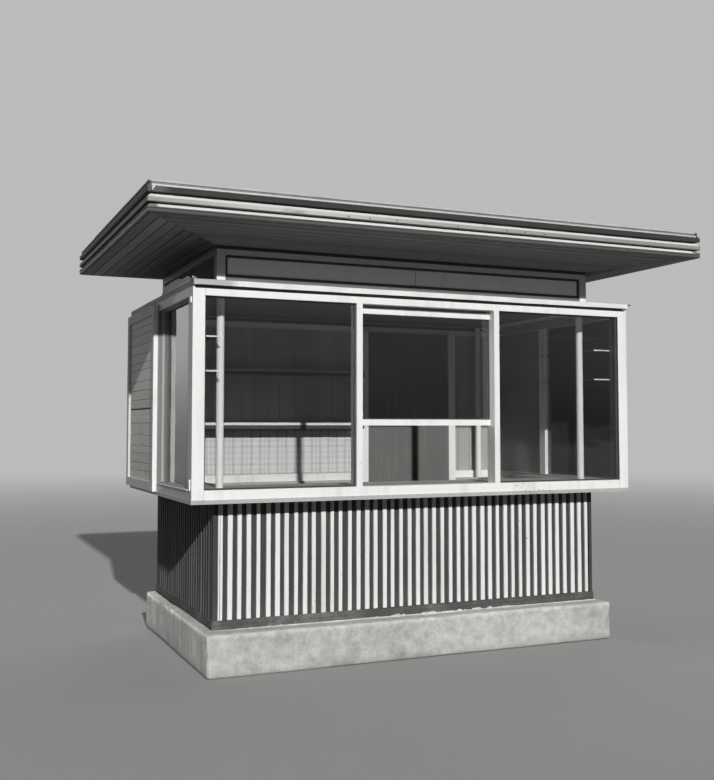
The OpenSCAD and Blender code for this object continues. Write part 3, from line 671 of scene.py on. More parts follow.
def split(start, end, count, gap, rng=None, shift=0.0):
    """Start and end of boards side by side, a gap short at each edge. Their joints may be shifted."""
    edges = np.linspace(start, end, count + 1)
    if rng:
        edges[1:-1] += rng.uniform(-shift, shift, count - 1)
    return np.stack([edges[:-1] + gap, edges[1:] - gap], -1)


def ragged_line(values):
    """Points along one axis, at which a ragged edge draws its noise."""
    return np.stack([values, np.zeros_like(values), np.zeros_like(values)], -1)


def mitred_frame(corner, right, up, width, height, bead):
    """Outer faces of four beads round the inside of a rectangle, mitred at its corners."""
    corner, right, up = (np.asarray(v, float) for v in (corner, right, up))
    outer, inner = ([corner + right * u + up * v for u, v in (
        (cut, cut), (width - cut, cut), (width - cut, height - cut), (cut, height - cut))]
        for cut in (0, bead))
    return np.array([[outer[k], outer[(k + 1) % 4], inner[k], inner[(k + 1) % 4]]
                     for k in range(4)])


def finishes():
    """The kiosk's finishes, made once: a dictionary by plain name."""
    if finishes.made:
        return finishes.made
    c = bpy.context.scene.kiosk_colours
    white, grey, dark, soffit, bare, inner, zinc = (tuple(colour) for colour in (
        c.white_paint, c.grey_paint, c.dark_stain, c.soffit_stain, c.bare_wood, c.inner_wood, c.zinc))
    butt = span("box_head_rails")[1][0] - 0.068
    side_x = span("fascia_middle_battens")[1][0] - 0.005
    shutter_y, post_x = span("side_shutters")[0][1], span("box_corner_posts")[1][0]
    # Painted shadow: the shutters' front edges are white, with a dark line next to the post for the shadow
    # in the gap between them; the rest is grey.
    edge_and_gap_shadow = (beyond(3, post_x + 0.0005, (0.06, 0.06, 0.055)), beyond(3, post_x + 0.004, white),
                 beyond(1, shutter_y + 0.0015, grey))
    plinth_high, door_y = span("plinth")[1], span("rear_door")[0][1]
    soffit_y, lower_z = span("soffit_long_sides")[0][1], span("fascia_lower_battens")[0][2]
    middle_z, post_in = span("fascia_middle_battens")[0][2], span("front_window_panes")[1][0]
    fold, flashing_x = span("roof_flashing")[0][2], span("roof_flashing")[1][0] - 0.014
    skirt_low = span("skirt_roof_long_sides")[0]
    sign_high = span("sign_top_rails")[1]
    shelf_low, shelf_high = span("back_shelves")
    # Painted shade: the outer left and right faces of the white parts are painted grey, for the shade on
    # them.
    side_shade = (beyond(3, post_x - 0.0005, times(white, 0.62)),)
    finishes.made.update({
        "white x": painted_wood("white_paint_level", white, "x", grime=0.20, joint=butt),
        "white z": painted_wood("white_paint_upright", white, "z", grime=0.20, zones=side_shade),
        # Painted shade: the corner posts' inner faces, in the window reveals, are painted nearly black.
        "corner post": painted_wood("corner_post_paint", white, "z", grime=0.20, zones=(
            *side_shade, (3, post_in + 0.0006, post_in + 0.0003, (0.08, 0.079, 0.076)))),
        "white level": painted_wood("white_paint_round", white, "xy", grime=0.24, joint=butt, zones=side_shade),
        "white map": painted_wood("white_paint_strips", white, "map"),
        # Painted shadow: the slats are painted grey near their tops, for the shadow of the bay floor above
        # them.
        "white slats": painted_wood("white_slat_paint", times(white, 0.95), "map", grime=0.22, zones=(
            (2, 0.855, 0.880, (0.45, 0.447, 0.435)),)),
        "enamel": painted_wood("white_enamel", white, "z", grime=0.04, wear=-2.0),
        "moulding": painted_wood("moulding_paint", (0.19, 0.187, 0.18), "map"),
        "pale moulding": painted_wood("pale_moulding_paint", (0.35, 0.345, 0.33), "map"),
        # Painted shadow and shade: the sign frame is painted grey above the line where the canopy's shadow
        # falls, nearly black on its side faces, and nearly black along its top 18 mm, where it meets the
        # soffit.
        "sign frame": painted_wood("sign_frame_paint_and_shade", white, "z", zones=(
            (2, 2.205, 2.225, (0.62, 0.617, 0.60)),
            beyond(3, sign_high[0] - 0.0006, (0.12, 0.119, 0.115)),
            beyond(2, sign_high[2] - 0.018, (0.045, 0.044, 0.042)))),
        "sign sill": painted_wood("sign_sill_paint", (0.16, 0.157, 0.148), "xy", grime=0.3),
        "grey level": painted_wood("grey_paint_round", (0.46, 0.455, 0.44), "xy", grime=0.3,
                                   wear=0.5),
        "shutter": board_paint("shutter_paint", white, "z", zones=edge_and_gap_shadow),
        "shutter boards": board_paint("shutter_board_paint", times(grey, 1.16), "map"),
        "grey x": board_paint("grey_paint_level", grey, "x"),
        "grey boards": board_paint("grey_board_paint", grey, "map"),
        "dark z": stained_wood("dark_stain_upright", times(dark, 0.72), "z", dusty=0.05,
                               dust_z=(0.26, 0.50)),
        "dark level": stained_wood("dark_stain_round", dark, "xy"),
        "dark boards": stained_wood("dark_stain_boards", times(dark, 1.7), "map",
                                    dusty=0.12),
        "skirting": stained_wood("skirting_stain", dark, "map", (0.30, 0.298, 0.29), 0.62),
        "soffit": stained_wood("soffit_stain_boards", soffit, "map", dusty=0.10, zones=(
            (1, soffit_y + 0.0055, soffit_y + 0.0045, (0.075, 0.073, 0.07)),)),
        # Painted shade: the side soffits are painted darker towards the sign band, for the shade there.
        "side soffit": stained_wood("side_soffit_stain_boards", times(soffit, 0.50), "map", dusty=0.14,
                                    zones=((3, 1.34, 1.60, times(soffit, 1.35)),)),
        # Painted shade: the lower batten's end faces are painted nearly black, for the shade on them.
        "lower batten": weathered_wood("lower_battens", white, "xy", worn=0.12, zones=(
            (3, 1.690, 1.712, (0.24, 0.235, 0.225)),
            (2, lower_z + 0.0065, lower_z + 0.0055, (0.12, 0.118, 0.115)),
            beyond(3, side_x, (0.075, 0.073, 0.07)))),
        # Painted shade: the middle batten's end faces are painted dark grey, for the shade on them.
        "middle batten": weathered_wood("middle_battens", times(bare, 0.76), "xy", zones=(
            (0, -1.75, -1.0, times(bare, 1.10)), (0, -1.0, 0.1, times(bare, 0.72)),
            (0, 0.1, 0.9, times(bare, 0.58)), beyond(2, middle_z + 0.024, (0.84, 0.83, 0.81)),
            (2, middle_z + 0.0045, middle_z + 0.0035, (0.12, 0.117, 0.11)),
            beyond(3, side_x, (0.20, 0.197, 0.19)))),
        "upper batten": stained_wood("upper_battens", (0.034, 0.033, 0.031), "xy", dusty=0.05, zones=(
            (0, -1.62, -1.70, (0.11, 0.107, 0.10)), beyond(3, side_x, (0.05, 0.049, 0.047)))),
        "inner x": board_paint("inner_boards_level", inner, "x"),
        "inner y": board_paint("inner_boards_deep", inner, "y"),
        # Painted shade: these inner walls and the ring beams are darker copies of the inner wood, for the
        # shade inside.
        "inner z": board_paint("inner_boards_upright", times(inner, 0.55), "z"),
        "inner dark": board_paint("inner_boards_dark", times(inner, 0.30), "xy"),
        # Painted shade: the door's inside face is painted dark, for the shade inside.
        "door": board_paint("door_paint", grey, "z", zones=(
            (1, door_y + 0.0012, door_y + 0.0008, times(inner, 0.35)),)),
        # Painted shade: the ceiling lining is a darker copy of the inner wood, for the shade inside.
        "ceiling boards": board_paint("ceiling_lining", times(inner, 0.45), "map"),
        "inner boards": board_paint("inner_lining", inner, "map"),
        # Painted light and shade: the shelf is painted nearly black for the shade under and above its lip,
        # with a pale band where the sun lights the lip; its top 19 mm keep the inner wood colour.
        "shelf": board_paint("shelf_painted_light_and_shade", (0.05, 0.048, 0.045), "x", zones=(
            beyond(2, shelf_low[2] + 0.026, (0.86, 0.855, 0.84)),
            beyond(2, shelf_low[2] + 0.050, (0.05, 0.048, 0.045)),
            beyond(2, shelf_high[2] - 0.019, inner))),
        # Painted light: the plinth's left and right faces are painted pale, for the light bounced onto them
        # from the ground.
        "concrete": cast_concrete("cast_concrete", tuple(c.concrete), corner=plinth_high, zones=(
            beyond(3, plinth_high[0] - 0.004, (0.84, 0.83, 0.80)),)),
        "mortar": cast_concrete("mortar", (0.64, 0.635, 0.62)),
        "skirt zinc": sheet_metal("skirt_zinc", white, 0.30, metal=0.05, zones=(
            (0, -1.17, -1.25, (0.50, 0.495, 0.48)), beyond(3, post_x - 0.0005, (0.16, 0.158, 0.155)),
            beyond(2, skirt_low[2] + 0.0215, (0.26, 0.26, 0.26)))),
        "loose zinc": sheet_metal("loose_zinc", (0.46, 0.455, 0.445), 0.70, metal=0.15),
        # Painted shade: a dark band along the flashing's groove, for the shadow in it, and nearly black end
        # faces, for the shade on them.
        "flashing zinc": sheet_metal("flashing_zinc", zinc, metal=0.25, zones=(
            beyond(2, fold + 0.0095, (0.21, 0.21, 0.21)), beyond(2, fold + 0.0185, zinc),
            beyond(3, flashing_x, (0.07, 0.07, 0.07)))),
        "iron": iron("old_iron"),
        "felt": roofing_felt("roofing_felt", tuple(c.felt)),
        "glass": clear_glass("window_glass"),
        "opal": opal_glass("opal_glass", tuple(c.opal)),
        "cloth": checked_cloth("checked_oilcloth", (0.72, 0.715, 0.70)),
        "putty": stained_wood("dark_bead", (0.055, 0.053, 0.050), "map", dusty=0.10),
    })
    return finishes.made


finishes.made = {}

FINISHED_NODES = {
    "concrete": "plinth",
    "inner y": "floor_deck side_display_shelves",
    "dark z":
        "base_front_wall base_side_walls base_rear_walls base_corner_strips side_slats "
        "rear_slats sign_side_boards",
    "dark level": "skirting_boards eave_boards fascia_board",
    "white z": "front_slats front_mullions side_mid_posts door_jambs",
    "grey level": "bay_floor_boards",
    "corner post": "box_corner_posts",
    "white level": "box_sill_rails box_head_rails eave_side_boards",
    "glass": "front_window_panes side_window_panes hatch_pane side_glass_shelves",
    "white x": "hatch_rails",
    "inner z": "side_rear_walls",
    "shutter": "side_shutters",
    "grey x": "rear_walls",
    "door": "rear_door",
    "iron": "door_handle",
    "inner x": "shelf_bearers front_display_shelf ceiling",
    "shelf": "back_shelves",
    "enamel": "inner_posts",
    "skirt zinc": "skirt_roof_long_sides skirt_roof_short_sides",
    "inner dark": "ring_beams",
    "sign frame": "sign_corner_posts sign_top_rails",
    "sign sill": "sign_sill_rails",
    "opal": "sign_front_panes",
    "soffit": "soffit_long_sides soffit_short_sides",
    "lower batten": "fascia_lower_battens",
    "middle batten": "fascia_middle_battens",
    "upper batten": "fascia_upper_battens",
    "flashing zinc": "roof_flashing",
    "felt": "roof_deck",
}
NODE_FINISHES = {node: finish for finish, nodes in FINISHED_NODES.items() for node in nodes.split()}


class KIOSK_OT_stage(bpy.types.Operator):
    """Set the camera, the lamps, the floor and the backdrop"""

    bl_idname = "kiosk.stage"
    bl_label = "Stage"

    def execute(self, context):
        gaze = unit(GAZE)
        right = unit(np.cross(gaze, UP))
        up = np.cross(right, gaze)
        turn = Matrix(np.column_stack([right, up, -gaze]).tolist())
        camera = bpy.data.cameras.new("camera")
        camera.sensor_width = 36.0
        camera.lens = FOCAL_PIXELS * camera.sensor_width / PICTURE_HEIGHT
        camera.shift_y = -AXIS_ABOVE_MIDDLE / PICTURE_HEIGHT
        context.scene.camera = self.put(context, camera, Matrix.Translation(EYE.tolist()) @ turn.to_4x4())
        self.lamp(context, "key_sun", 3.15, 1.0, azimuth=-8.2, height=23.5)
        self.lamp(context, "rear_fill", 0.60, 70.0, azimuth=160.0, height=38.0)
        self.floor(context)
        self.world(context)
        context.scene.view_settings.view_transform = "Standard"
        return {"FINISHED"}

    def put(self, context, data, place=None):
        """Links an object that holds a camera, a lamp or a mesh, by its name and at its place."""
        holder = bpy.data.objects.new(data.name, data)
        if place:
            holder.matrix_world = place
        context.scene.collection.objects.link(holder)
        return holder

    def lamp(self, context, name, energy, spread, azimuth, height):
        """A distant lamp that stands at an azimuth from the front, to the right, and at a height."""
        a, h = math.radians(azimuth), math.radians(height)
        towards = np.array([math.sin(a) * math.cos(h), -math.cos(a) * math.cos(h), math.sin(h)])
        lamp = bpy.data.lights.new(name, "SUN")
        lamp.energy = energy
        lamp.angle = math.radians(spread)
        side = unit(np.cross(UP, towards))
        turn = Matrix(np.column_stack([side, np.cross(towards, side), towards]).tolist())
        self.put(context, lamp, turn.to_4x4())

    def floor(self, context):
        """A wide pale floor that fades into the backdrop."""
        f = Finish("studio_floor")
        seen = f.add("LightPath", output="Is Camera Ray")
        near = f.blend(seen, (0.20, 0.20, 0.197), (0.42, 0.42, 0.415))
        cloth = f.add("BsdfDiffuse", {"Color": near})
        mirrored = f.blend(f.step(f.axis(1), 3.0, 15.0), MIRRORED_FRONT, MIRRORED_GROUND)
        far = f.blend(seen, mirrored, BACKDROP)
        glow = f.add("Emission", {"Color": far})
        flat = f.tint(f.add("TexCoord", output="Object"), (1.0, 1.0, 0.0))
        away = f.add("VectorMath", {0: flat}, 1, operation="LENGTH")
        both = f.add("MixShader", {0: f.step(away, 5.0, 26.0), 1: cloth, 2: glow})
        f.add("OutputMaterial", {0: both})
        reach = 60.0
        mesh = bpy.data.meshes.new("floor")
        corners = [(-reach, -reach, 0), (reach, -reach, 0), (reach, reach, 0), (-reach, reach, 0)]
        mesh.from_pydata(corners, [], [(0, 1, 2, 3)])
        mesh.materials.append(f.owner)
        floor = self.put(context, mesh)

    def world(self, context):
        """Soft light from all round, behind a plain backdrop for the camera. The front is darker than
        the rear, as in a street with the sky behind the kiosk, and mirrors see this more strongly."""
        f = Finish("studio", "worlds")

        def ray(kind):
            return f.add("LightPath", output=f"Is {kind} Ray")

        def way(index):
            return f.add("SeparateXYZ", {0: f.add("TexCoord", output="Generated")}, index)

        behind = f.step(way(1), -0.25, 0.45)
        mirror = f.step(behind, 0.0, 1.0, "LINEAR", MIRRORED_FRONT[0], MIRRORED_REAR)
        above = f.step(way(2), -0.02, 0.09, first=0.45)
        soft = f.step(behind, 0.0, 1.0, "LINEAR", SOFT_FRONT, SOFT_REAR)
        light = f.add("Background", {"Color": (0.98, 0.99, 1.0, 1.0), "Strength": soft})
        mirrored = f.add("Background", {"Color": (1.0, 1.0, 1.0, 1.0), "Strength": mirror * above})
        seen = f.add("Background", {"Color": rgba(BACKDROP)})
        bounced = f.math("MAXIMUM", ray("Glossy"), ray("Transmission"))
        lit = f.add("MixShader", {0: bounced, 1: light, 2: mirrored})
        f.add("OutputWorld", {0: f.add("MixShader", {0: ray("Camera"), 1: lit, 2: seen})})
        context.scene.world = f.owner


class KIOSK_OT_frame_finishes(bpy.types.Operator):
    """Give each node of the frame its finish"""

    bl_idname = "kiosk.frame_finishes"
    bl_label = "Frame finishes"

    def execute(self, context):
        missing = set(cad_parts) - set(NODE_FINISHES)
        if missing:
            raise ValueError(f"no finish is chosen for {sorted(missing)}")
        for name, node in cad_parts.items():
            node.data.materials.clear()
            node.data.materials.append(finishes()[NODE_FINISHES[name]])
        return {"FINISHED"}


class KIOSK_OT_plinth(bpy.types.Operator):
    """Cast the plinth with worn edges, and the mortar along the skirting"""

    bl_idname = "kiosk.plinth"
    bl_label = "Plinth"

    def execute(self, context):
        low, high = span("plinth")

        def rough(p):
            swell = 0.0035 * lattice_noise(p, 0.42, 3) + 0.0018 * lattice_noise(p, 0.11, 4)
            edge = np.maximum(0, np.abs(lattice_noise(p, 0.06, 5)) - 0.45)
            corner = np.sort(np.minimum(p - low, high - p), axis=-1)[..., 1]
            above = np.clip((p[..., 2] - low[2]) / 0.06 - 0.5, 0, 1)
            return swell - 0.030 * edge * above * np.exp(-(corner / 0.020) ** 2)

        make_piece("cast_plinth", cast_block(low, high, 0.014, 0.012, rough),
                   "concrete", ["plinth"], smooth=True)
        self.mortar(high[2])
        return {"FINISHED"}

    def mortar(self, level):
        """A ragged fillet: its height and its width are noise of the way along the front."""
        skirting_low, skirting_high = span("skirting_boards")
        x = np.linspace(skirting_low[0] - 0.012, skirting_high[0] + 0.012, 420)
        points = ragged_line(x)
        ragged = lattice_noise(points, 0.035, 11) + 0.6 * lattice_noise(points, 0.012, 12)
        patch = np.clip(lattice_noise(points, 0.30, 13) + 0.75, 0, 1)
        rise = 0.004 + np.maximum(0, ragged + 0.5) * 0.007 * patch
        depth = 0.008 + np.maximum(0, ragged + 0.7) * 0.009 * patch
        t = np.linspace(0, 1, 6)
        y = skirting_low[1] + 0.003 - depth[:, None] * t
        z = level - 0.004 + rise[:, None] * np.cos(t * np.pi / 2) + 0.004 * (1 - t)
        top = np.stack([np.broadcast_to(x[:, None], y.shape), y, z], -1)
        bottom = top.copy()
        bottom[..., 2] = level - 0.008
        make_piece("mortar_fillet", sheet(top, bottom), "mortar", smooth=True)


class KIOSK_OT_lower_walls(bpy.types.Operator):
    """Nail the slats and the skirting on the lower walls"""

    bl_idname = "kiosk.lower_walls"
    bl_label = "Lower walls"

    def execute(self, context):
        sizes = context.scene.kiosk_sizes
        rng = np.random.default_rng(21)
        self.slats(sizes, rng, "front_slats", FRONT, "white slats", "white_slats")
        for node, outward in (("side_slats", LEFT), ("rear_slats", REAR)):
            self.slats(sizes, rng, node, outward, "dark boards", "dark_boards")
        self.skirting()
        return {"FINISHED"}

    def rows(self, node):
        """Start and end of each row of slats along its wall."""
        low, high = span(node)
        if node != "rear_slats":
            axis = 1 if node == "side_slats" else 0
            return [(low[axis], high[axis])]
        left, right = span("door_jambs")
        return [(low[0], left[0]), (right[0], high[0])]

    def slats(self, sizes, rng, node, outward, finish, slot):
        low, high = span(node)
        margin, scatter, uneven = 0.007, 0.0025, 0.004
        starts = []
        for start, end in self.rows(node):
            first = start + margin
            run = end - margin - first - sizes.slat_w
            count = int(round(run / sizes.slat_pitch))
            starts.append(first + run * np.arange(count + 1) / count)
        starts = np.concatenate(starts) + rng.uniform(-scatter, scatter, sum(map(len, starts)))
        widths = sizes.slat_w * rng.uniform(0.86, 1.12, len(starts))
        places = np.stack([starts, starts + widths], -1)
        if node == "front_slats":
            # The first slat is cleft along its grain
            cleft, crack = starts[0] + 0.009, 0.003
            places = np.vstack([[starts[0], cleft], [cleft + crack, starts[0] + sizes.slat_w],
                                places[1:]])
        heights = np.stack([np.full(len(places), low[2] + 0.001),
                            high[2] - rng.uniform(0, uneven, len(places))], -1)
        if node == "side_slats":
            thick, seed = span("base_side_walls")[0][0] - low[0], 31
            walls = ((LEFT, low[0]), (RIGHT, high[0]))
        else:
            thick, seed = high[1] - low[1], 32
            walls = ((outward, low[1] if outward is FRONT else high[1]),)
        shells = [boards(side, level, places, heights, thick, 0.0015, 10, 0.0008, 0.0006, seed, rise=True)
                  for side, level in walls]
        make_piece("nailed_" + node, shells, finish, [node])

    def skirting(self):
        """Skirting boards with a worn lower edge, which lies hollow along the sides."""
        low, high = span("skirting_boards")
        inner_low, inner_high = span("base_side_walls")
        jamb_low, jamb_high = span("door_jambs")
        front_wall = span("base_front_wall")[0]
        thick = front_wall[1] - low[1]
        hollow, lap = 0.009, 0.054
        side_run = (inner_low[1] - lap, inner_high[1])
        runs = ((FRONT, low[1], (low[0], high[0]), 0.002), (LEFT, low[0], side_run, hollow),
                (RIGHT, high[0], side_run, hollow), (REAR, high[1], (low[0], jamb_low[0]), 0.003),
                (REAR, high[1], (jamb_high[0], high[0]), 0.003))
        shells = [boards(side, level, along, (low[2] + gap, high[2]), thick, 0.003, 60, 0.0022, 0.0012,
                         40 + k) for k, (side, level, along, gap) in enumerate(runs)]
        make_piece("worn_skirting", shells, "skirting", ["skirting_boards"])


class KIOSK_OT_glazing(bpy.types.Operator):
    """Bed the panes in dark beads"""

    bl_idname = "kiosk.glazing"
    bl_label = "Glazing beads"

    def execute(self, context):
        bead = context.scene.kiosk_sizes.bead_w
        proud = 0.008
        low, high = span("front_window_panes")
        mullion_low, mullion_high = span("front_mullions")
        width, height = mullion_low[0] - low[0], high[2] - low[2]
        quads = [mitred_frame((x, low[1] - proud, low[2]), RIGHT, UP, width, height, bead)
                 for x in (low[0], mullion_high[0])]
        shells = [planks(np.concatenate(quads), FRONT, proud + 0.004, 0.001, seed=51)]
        low, high = span("hatch_pane")
        quads = mitred_frame((low[0], low[1] - proud, low[2]), RIGHT, UP, high[0] - low[0],
                             high[2] - low[2], bead * 0.7)
        shells.append(planks(quads, FRONT, proud + 0.002, 0.001, seed=53))
        make_piece("glazing_beads", shells, "putty")
        self.mouldings()
        self.keeps()
        return {"FINISHED"}

    def mouldings(self):
        """Two mouldings round the reveal of each side window, the inner one against the pane, and a
        nosing along the sill that drips clear of the wall."""
        low, high = span("side_window_panes")
        post_x = span("box_corner_posts")[1][0]
        middle = (high[0] + post_x) / 2
        depth, height = high[1] - low[1], high[2] - low[2]
        rings = (("side_window_mouldings", "moulding", post_x - 0.0005, middle, 0.006),
                 ("side_window_beads", "pale moulding", middle - 0.0005, high[0], 0.009))
        for k, (name, finish, face, back, width) in enumerate(rings):
            shells = [planks(mitred_frame((side[0] * face, low[1], low[2]), REAR, UP, depth, height, width),
                             side, face - back, 0.001, seed=52 + k) for side in (LEFT, RIGHT)]
            make_piece(name, shells, finish)
        heights = (low[2] - 0.004, low[2] + 0.003)
        shells = [boards(side, side[0] * (post_x + 0.005), (low[1], high[1]), heights, 0.0055, 0.0015, 12,
                         0.0004, 0.0003, 55) for side in (LEFT, RIGHT)]
        make_piece("side_sill_nosings", shells, "white map")
        self.lips()

    def lips(self):
        """Pale strips on the front edges of the glass shelves."""
        low, high = span("side_glass_shelves")
        inner = span("inner_posts")[1][0]
        places = [(x, (z - 0.001, z + 0.007)) for x in ((low[0], -inner), (inner, high[0]))
                  for z in (low[2], high[2] - 0.006)]
        lips = boards(FRONT, low[1] - 0.0008, *zip(*places), 0.0012, 0.0003, seed=56)
        make_piece("glass_shelf_lips", lips, "white map")

    def keeps(self):
        """Small angle irons on the corner posts that the closed shutters meet."""
        low, high = span("box_corner_posts")
        pane_low, pane_high = span("side_window_panes")
        proud = 0.008
        heights = ((pane_low[2], pane_low[2] + 0.059), (pane_high[2] - 0.040, pane_high[2] - 0.008))
        places = [(x, z) for x in ((low[0] - proud, low[0]), (high[0], high[0] + proud)) for z in heights]
        keeps = boards(FRONT, low[1] + 0.0215, *zip(*places), 0.003, 0.0006, rise=True)
        make_piece("shutter_keeps", keeps, "white map")


class KIOSK_OT_shutters(bpy.types.Operator):
    """Board the folded shutters"""

    bl_idname = "kiosk.shutters"
    bl_label = "Shutters"

    def execute(self, context):
        sizes = context.scene.kiosk_sizes
        low, high = span("side_shutters")
        w = sizes.shutter_frame_w
        y = (low[1] + w, high[1] - w)
        edges = np.array([low[2] + w, *SHUTTER_JOINTS, high[2] - w])
        thick, sunk, open_gap, tight_gap = 0.004, 0.0012, 0.0055, 0.0013
        gap = np.where(np.isclose(edges, OPEN_JOINT), open_gap, tight_gap)
        heights = np.stack([edges[:-1] + gap[:-1], edges[1:] - gap[1:]], -1)
        joints = np.stack([edges[1:-1] - gap[1:-1] - 0.001, edges[1:-1] + gap[1:-1] + 0.001], -1)
        shells, strips = [], []
        for side, face in ((LEFT, low[0] + sizes.shutter_sink), (RIGHT, high[0] - sizes.shutter_sink)):
            shells.append(boards(side, face + thick * side[0], y, heights, thick, 0.0016, 16, 0.0006,
                                 0.0005, 61))
            # Painted shade: dark strips behind the joints between the boards stand for the shade in the
            # gaps.
            strips.append(boards(side, face + sunk * side[0], y, joints, 0.0014, 0.0002, seed=62))
        make_piece("shutter_boards", shells, "shutter boards")
        make_piece("shutter_joint_shade_strips", strips, "putty")
        return {"FINISHED"}


class KIOSK_OT_interior(bpy.types.Operator):
    """Line the inside: upright boards, the checked oilcloth, the counter and the ceiling"""

    bl_idname = "kiosk.interior"
    bl_label = "Interior"

    def execute(self, context):
        wall_low, wall_high = span("rear_walls")
        jamb_low, jamb_high = span("door_jambs")
        rng = np.random.default_rng(71)
        thick, board_w = 0.006, 0.098
        shells = []
        for x0, x1 in ((wall_low[0], jamb_low[0]), (jamb_high[0], wall_high[0])):
            places = split(x0, x1, int(round((x1 - x0) / board_w)), 0.0010, rng, 0.010)
            shells.append(boards(FRONT, wall_low[1] - thick, places, (wall_low[2], wall_high[2]), thick,
                                 0.0022, 4, 0.0004, 0.0006, 72, rise=True))
        make_piece("rear_lining", shells, "inner boards")
        self.oilcloth(wall_low, jamb_low, thick)
        self.counter()
        self.ceiling()
        return {"FINISHED"}

    def oilcloth(self, wall_low, jamb_low, thick):
        """A checked cloth pinned flat under the shelf, with slow waves between its pins."""
        shelf_low = span("back_shelves")[0]
        x = np.linspace(wall_low[0] + 0.01, jamb_low[0] - 0.01, 90)
        z = np.linspace(wall_low[2] + 0.002, shelf_low[2] - 0.004, 16)
        gx, gz = np.meshgrid(x, z, indexing="ij")
        swell = 0.0012 * np.sin(gx * 17.0) + 0.0008 * np.sin(gx * 41.0 + gz * 9.0)
        front = wall_low[1] - thick - 0.004 + swell
        top = np.stack([gx, front, gz], -1)
        bottom = top + np.array([0.0, 0.0015, 0.0])
        make_piece("checked_oilcloth", sheet(top, bottom), "cloth", smooth=True)

    def counter(self):
        """Boards laid lengthways on the front display shelf."""
        low, high = span("front_display_shelf")
        thick = 0.003
        quads = level_quads((low[0], high[0]), split(low[1], high[1], 3, 0.0008), high[2] + thick)
        make_piece("counter_boards", planks(quads, UP, thick, 0.001, 24, 0.0003, 0.0002, 73),
                   "inner boards")

    def ceiling(self):
        """Boards under the ceiling, lengthways."""
        low, high = span("ceiling")
        thick = 0.005
        quads = level_quads((low[0], high[0]), split(low[1], high[1], 13, 0.001), low[2] - thick)
        make_piece("ceiling_boards", planks(quads, DOWN, thick, 0.0015, 12, 0.0004, 0.0004, 74),
                   "ceiling boards")


class KIOSK_OT_rear(bpy.types.Operator):
    """Board the rear wall and dress the door"""

    bl_idname = "kiosk.rear"
    bl_label = "Rear wall"

    def execute(self, context):
        low, high = span("rear_walls")
        jamb_low, jamb_high = span("door_jambs")
        rng = np.random.default_rng(81)
        heights = split(low[2], high[2], 14, 0.001, rng, 0.008)
        shells = [boards(REAR, high[1] + 0.004, x, heights, 0.004, 0.0016, 16, 0.0006, 0.0006, 82)
                  for x in ((low[0], jamb_low[0]), (jamb_high[0], high[0]))]
        make_piece("rear_boards", shells, "grey boards")
        self.door()
        return {"FINISHED"}

    def door(self):
        """Hinge barrels and a keyhole plate."""
        high = span("rear_door")[1]
        profile = ((0.004, 0), (0.0065, 0.002), (0.0065, 0.088), (0.004, 0.090))
        places = [(high[0] + 0.004, high[1] + 0.005, z) for z in (0.45, 1.15, 1.82)]
        handle = span("door_handle")[0]
        x, z = handle[0] + 0.018, handle[2] - 0.055
        half_w, half_h, thick = 0.014, 0.022, 0.003
        plate = boards(REAR, high[1] + thick, (x - half_w, x + half_w), (z - half_h, z + half_h), thick,
                       0.0008, rise=True)
        make_piece("door_fittings", [turned(places, UP, profile, 12), plate], "iron")


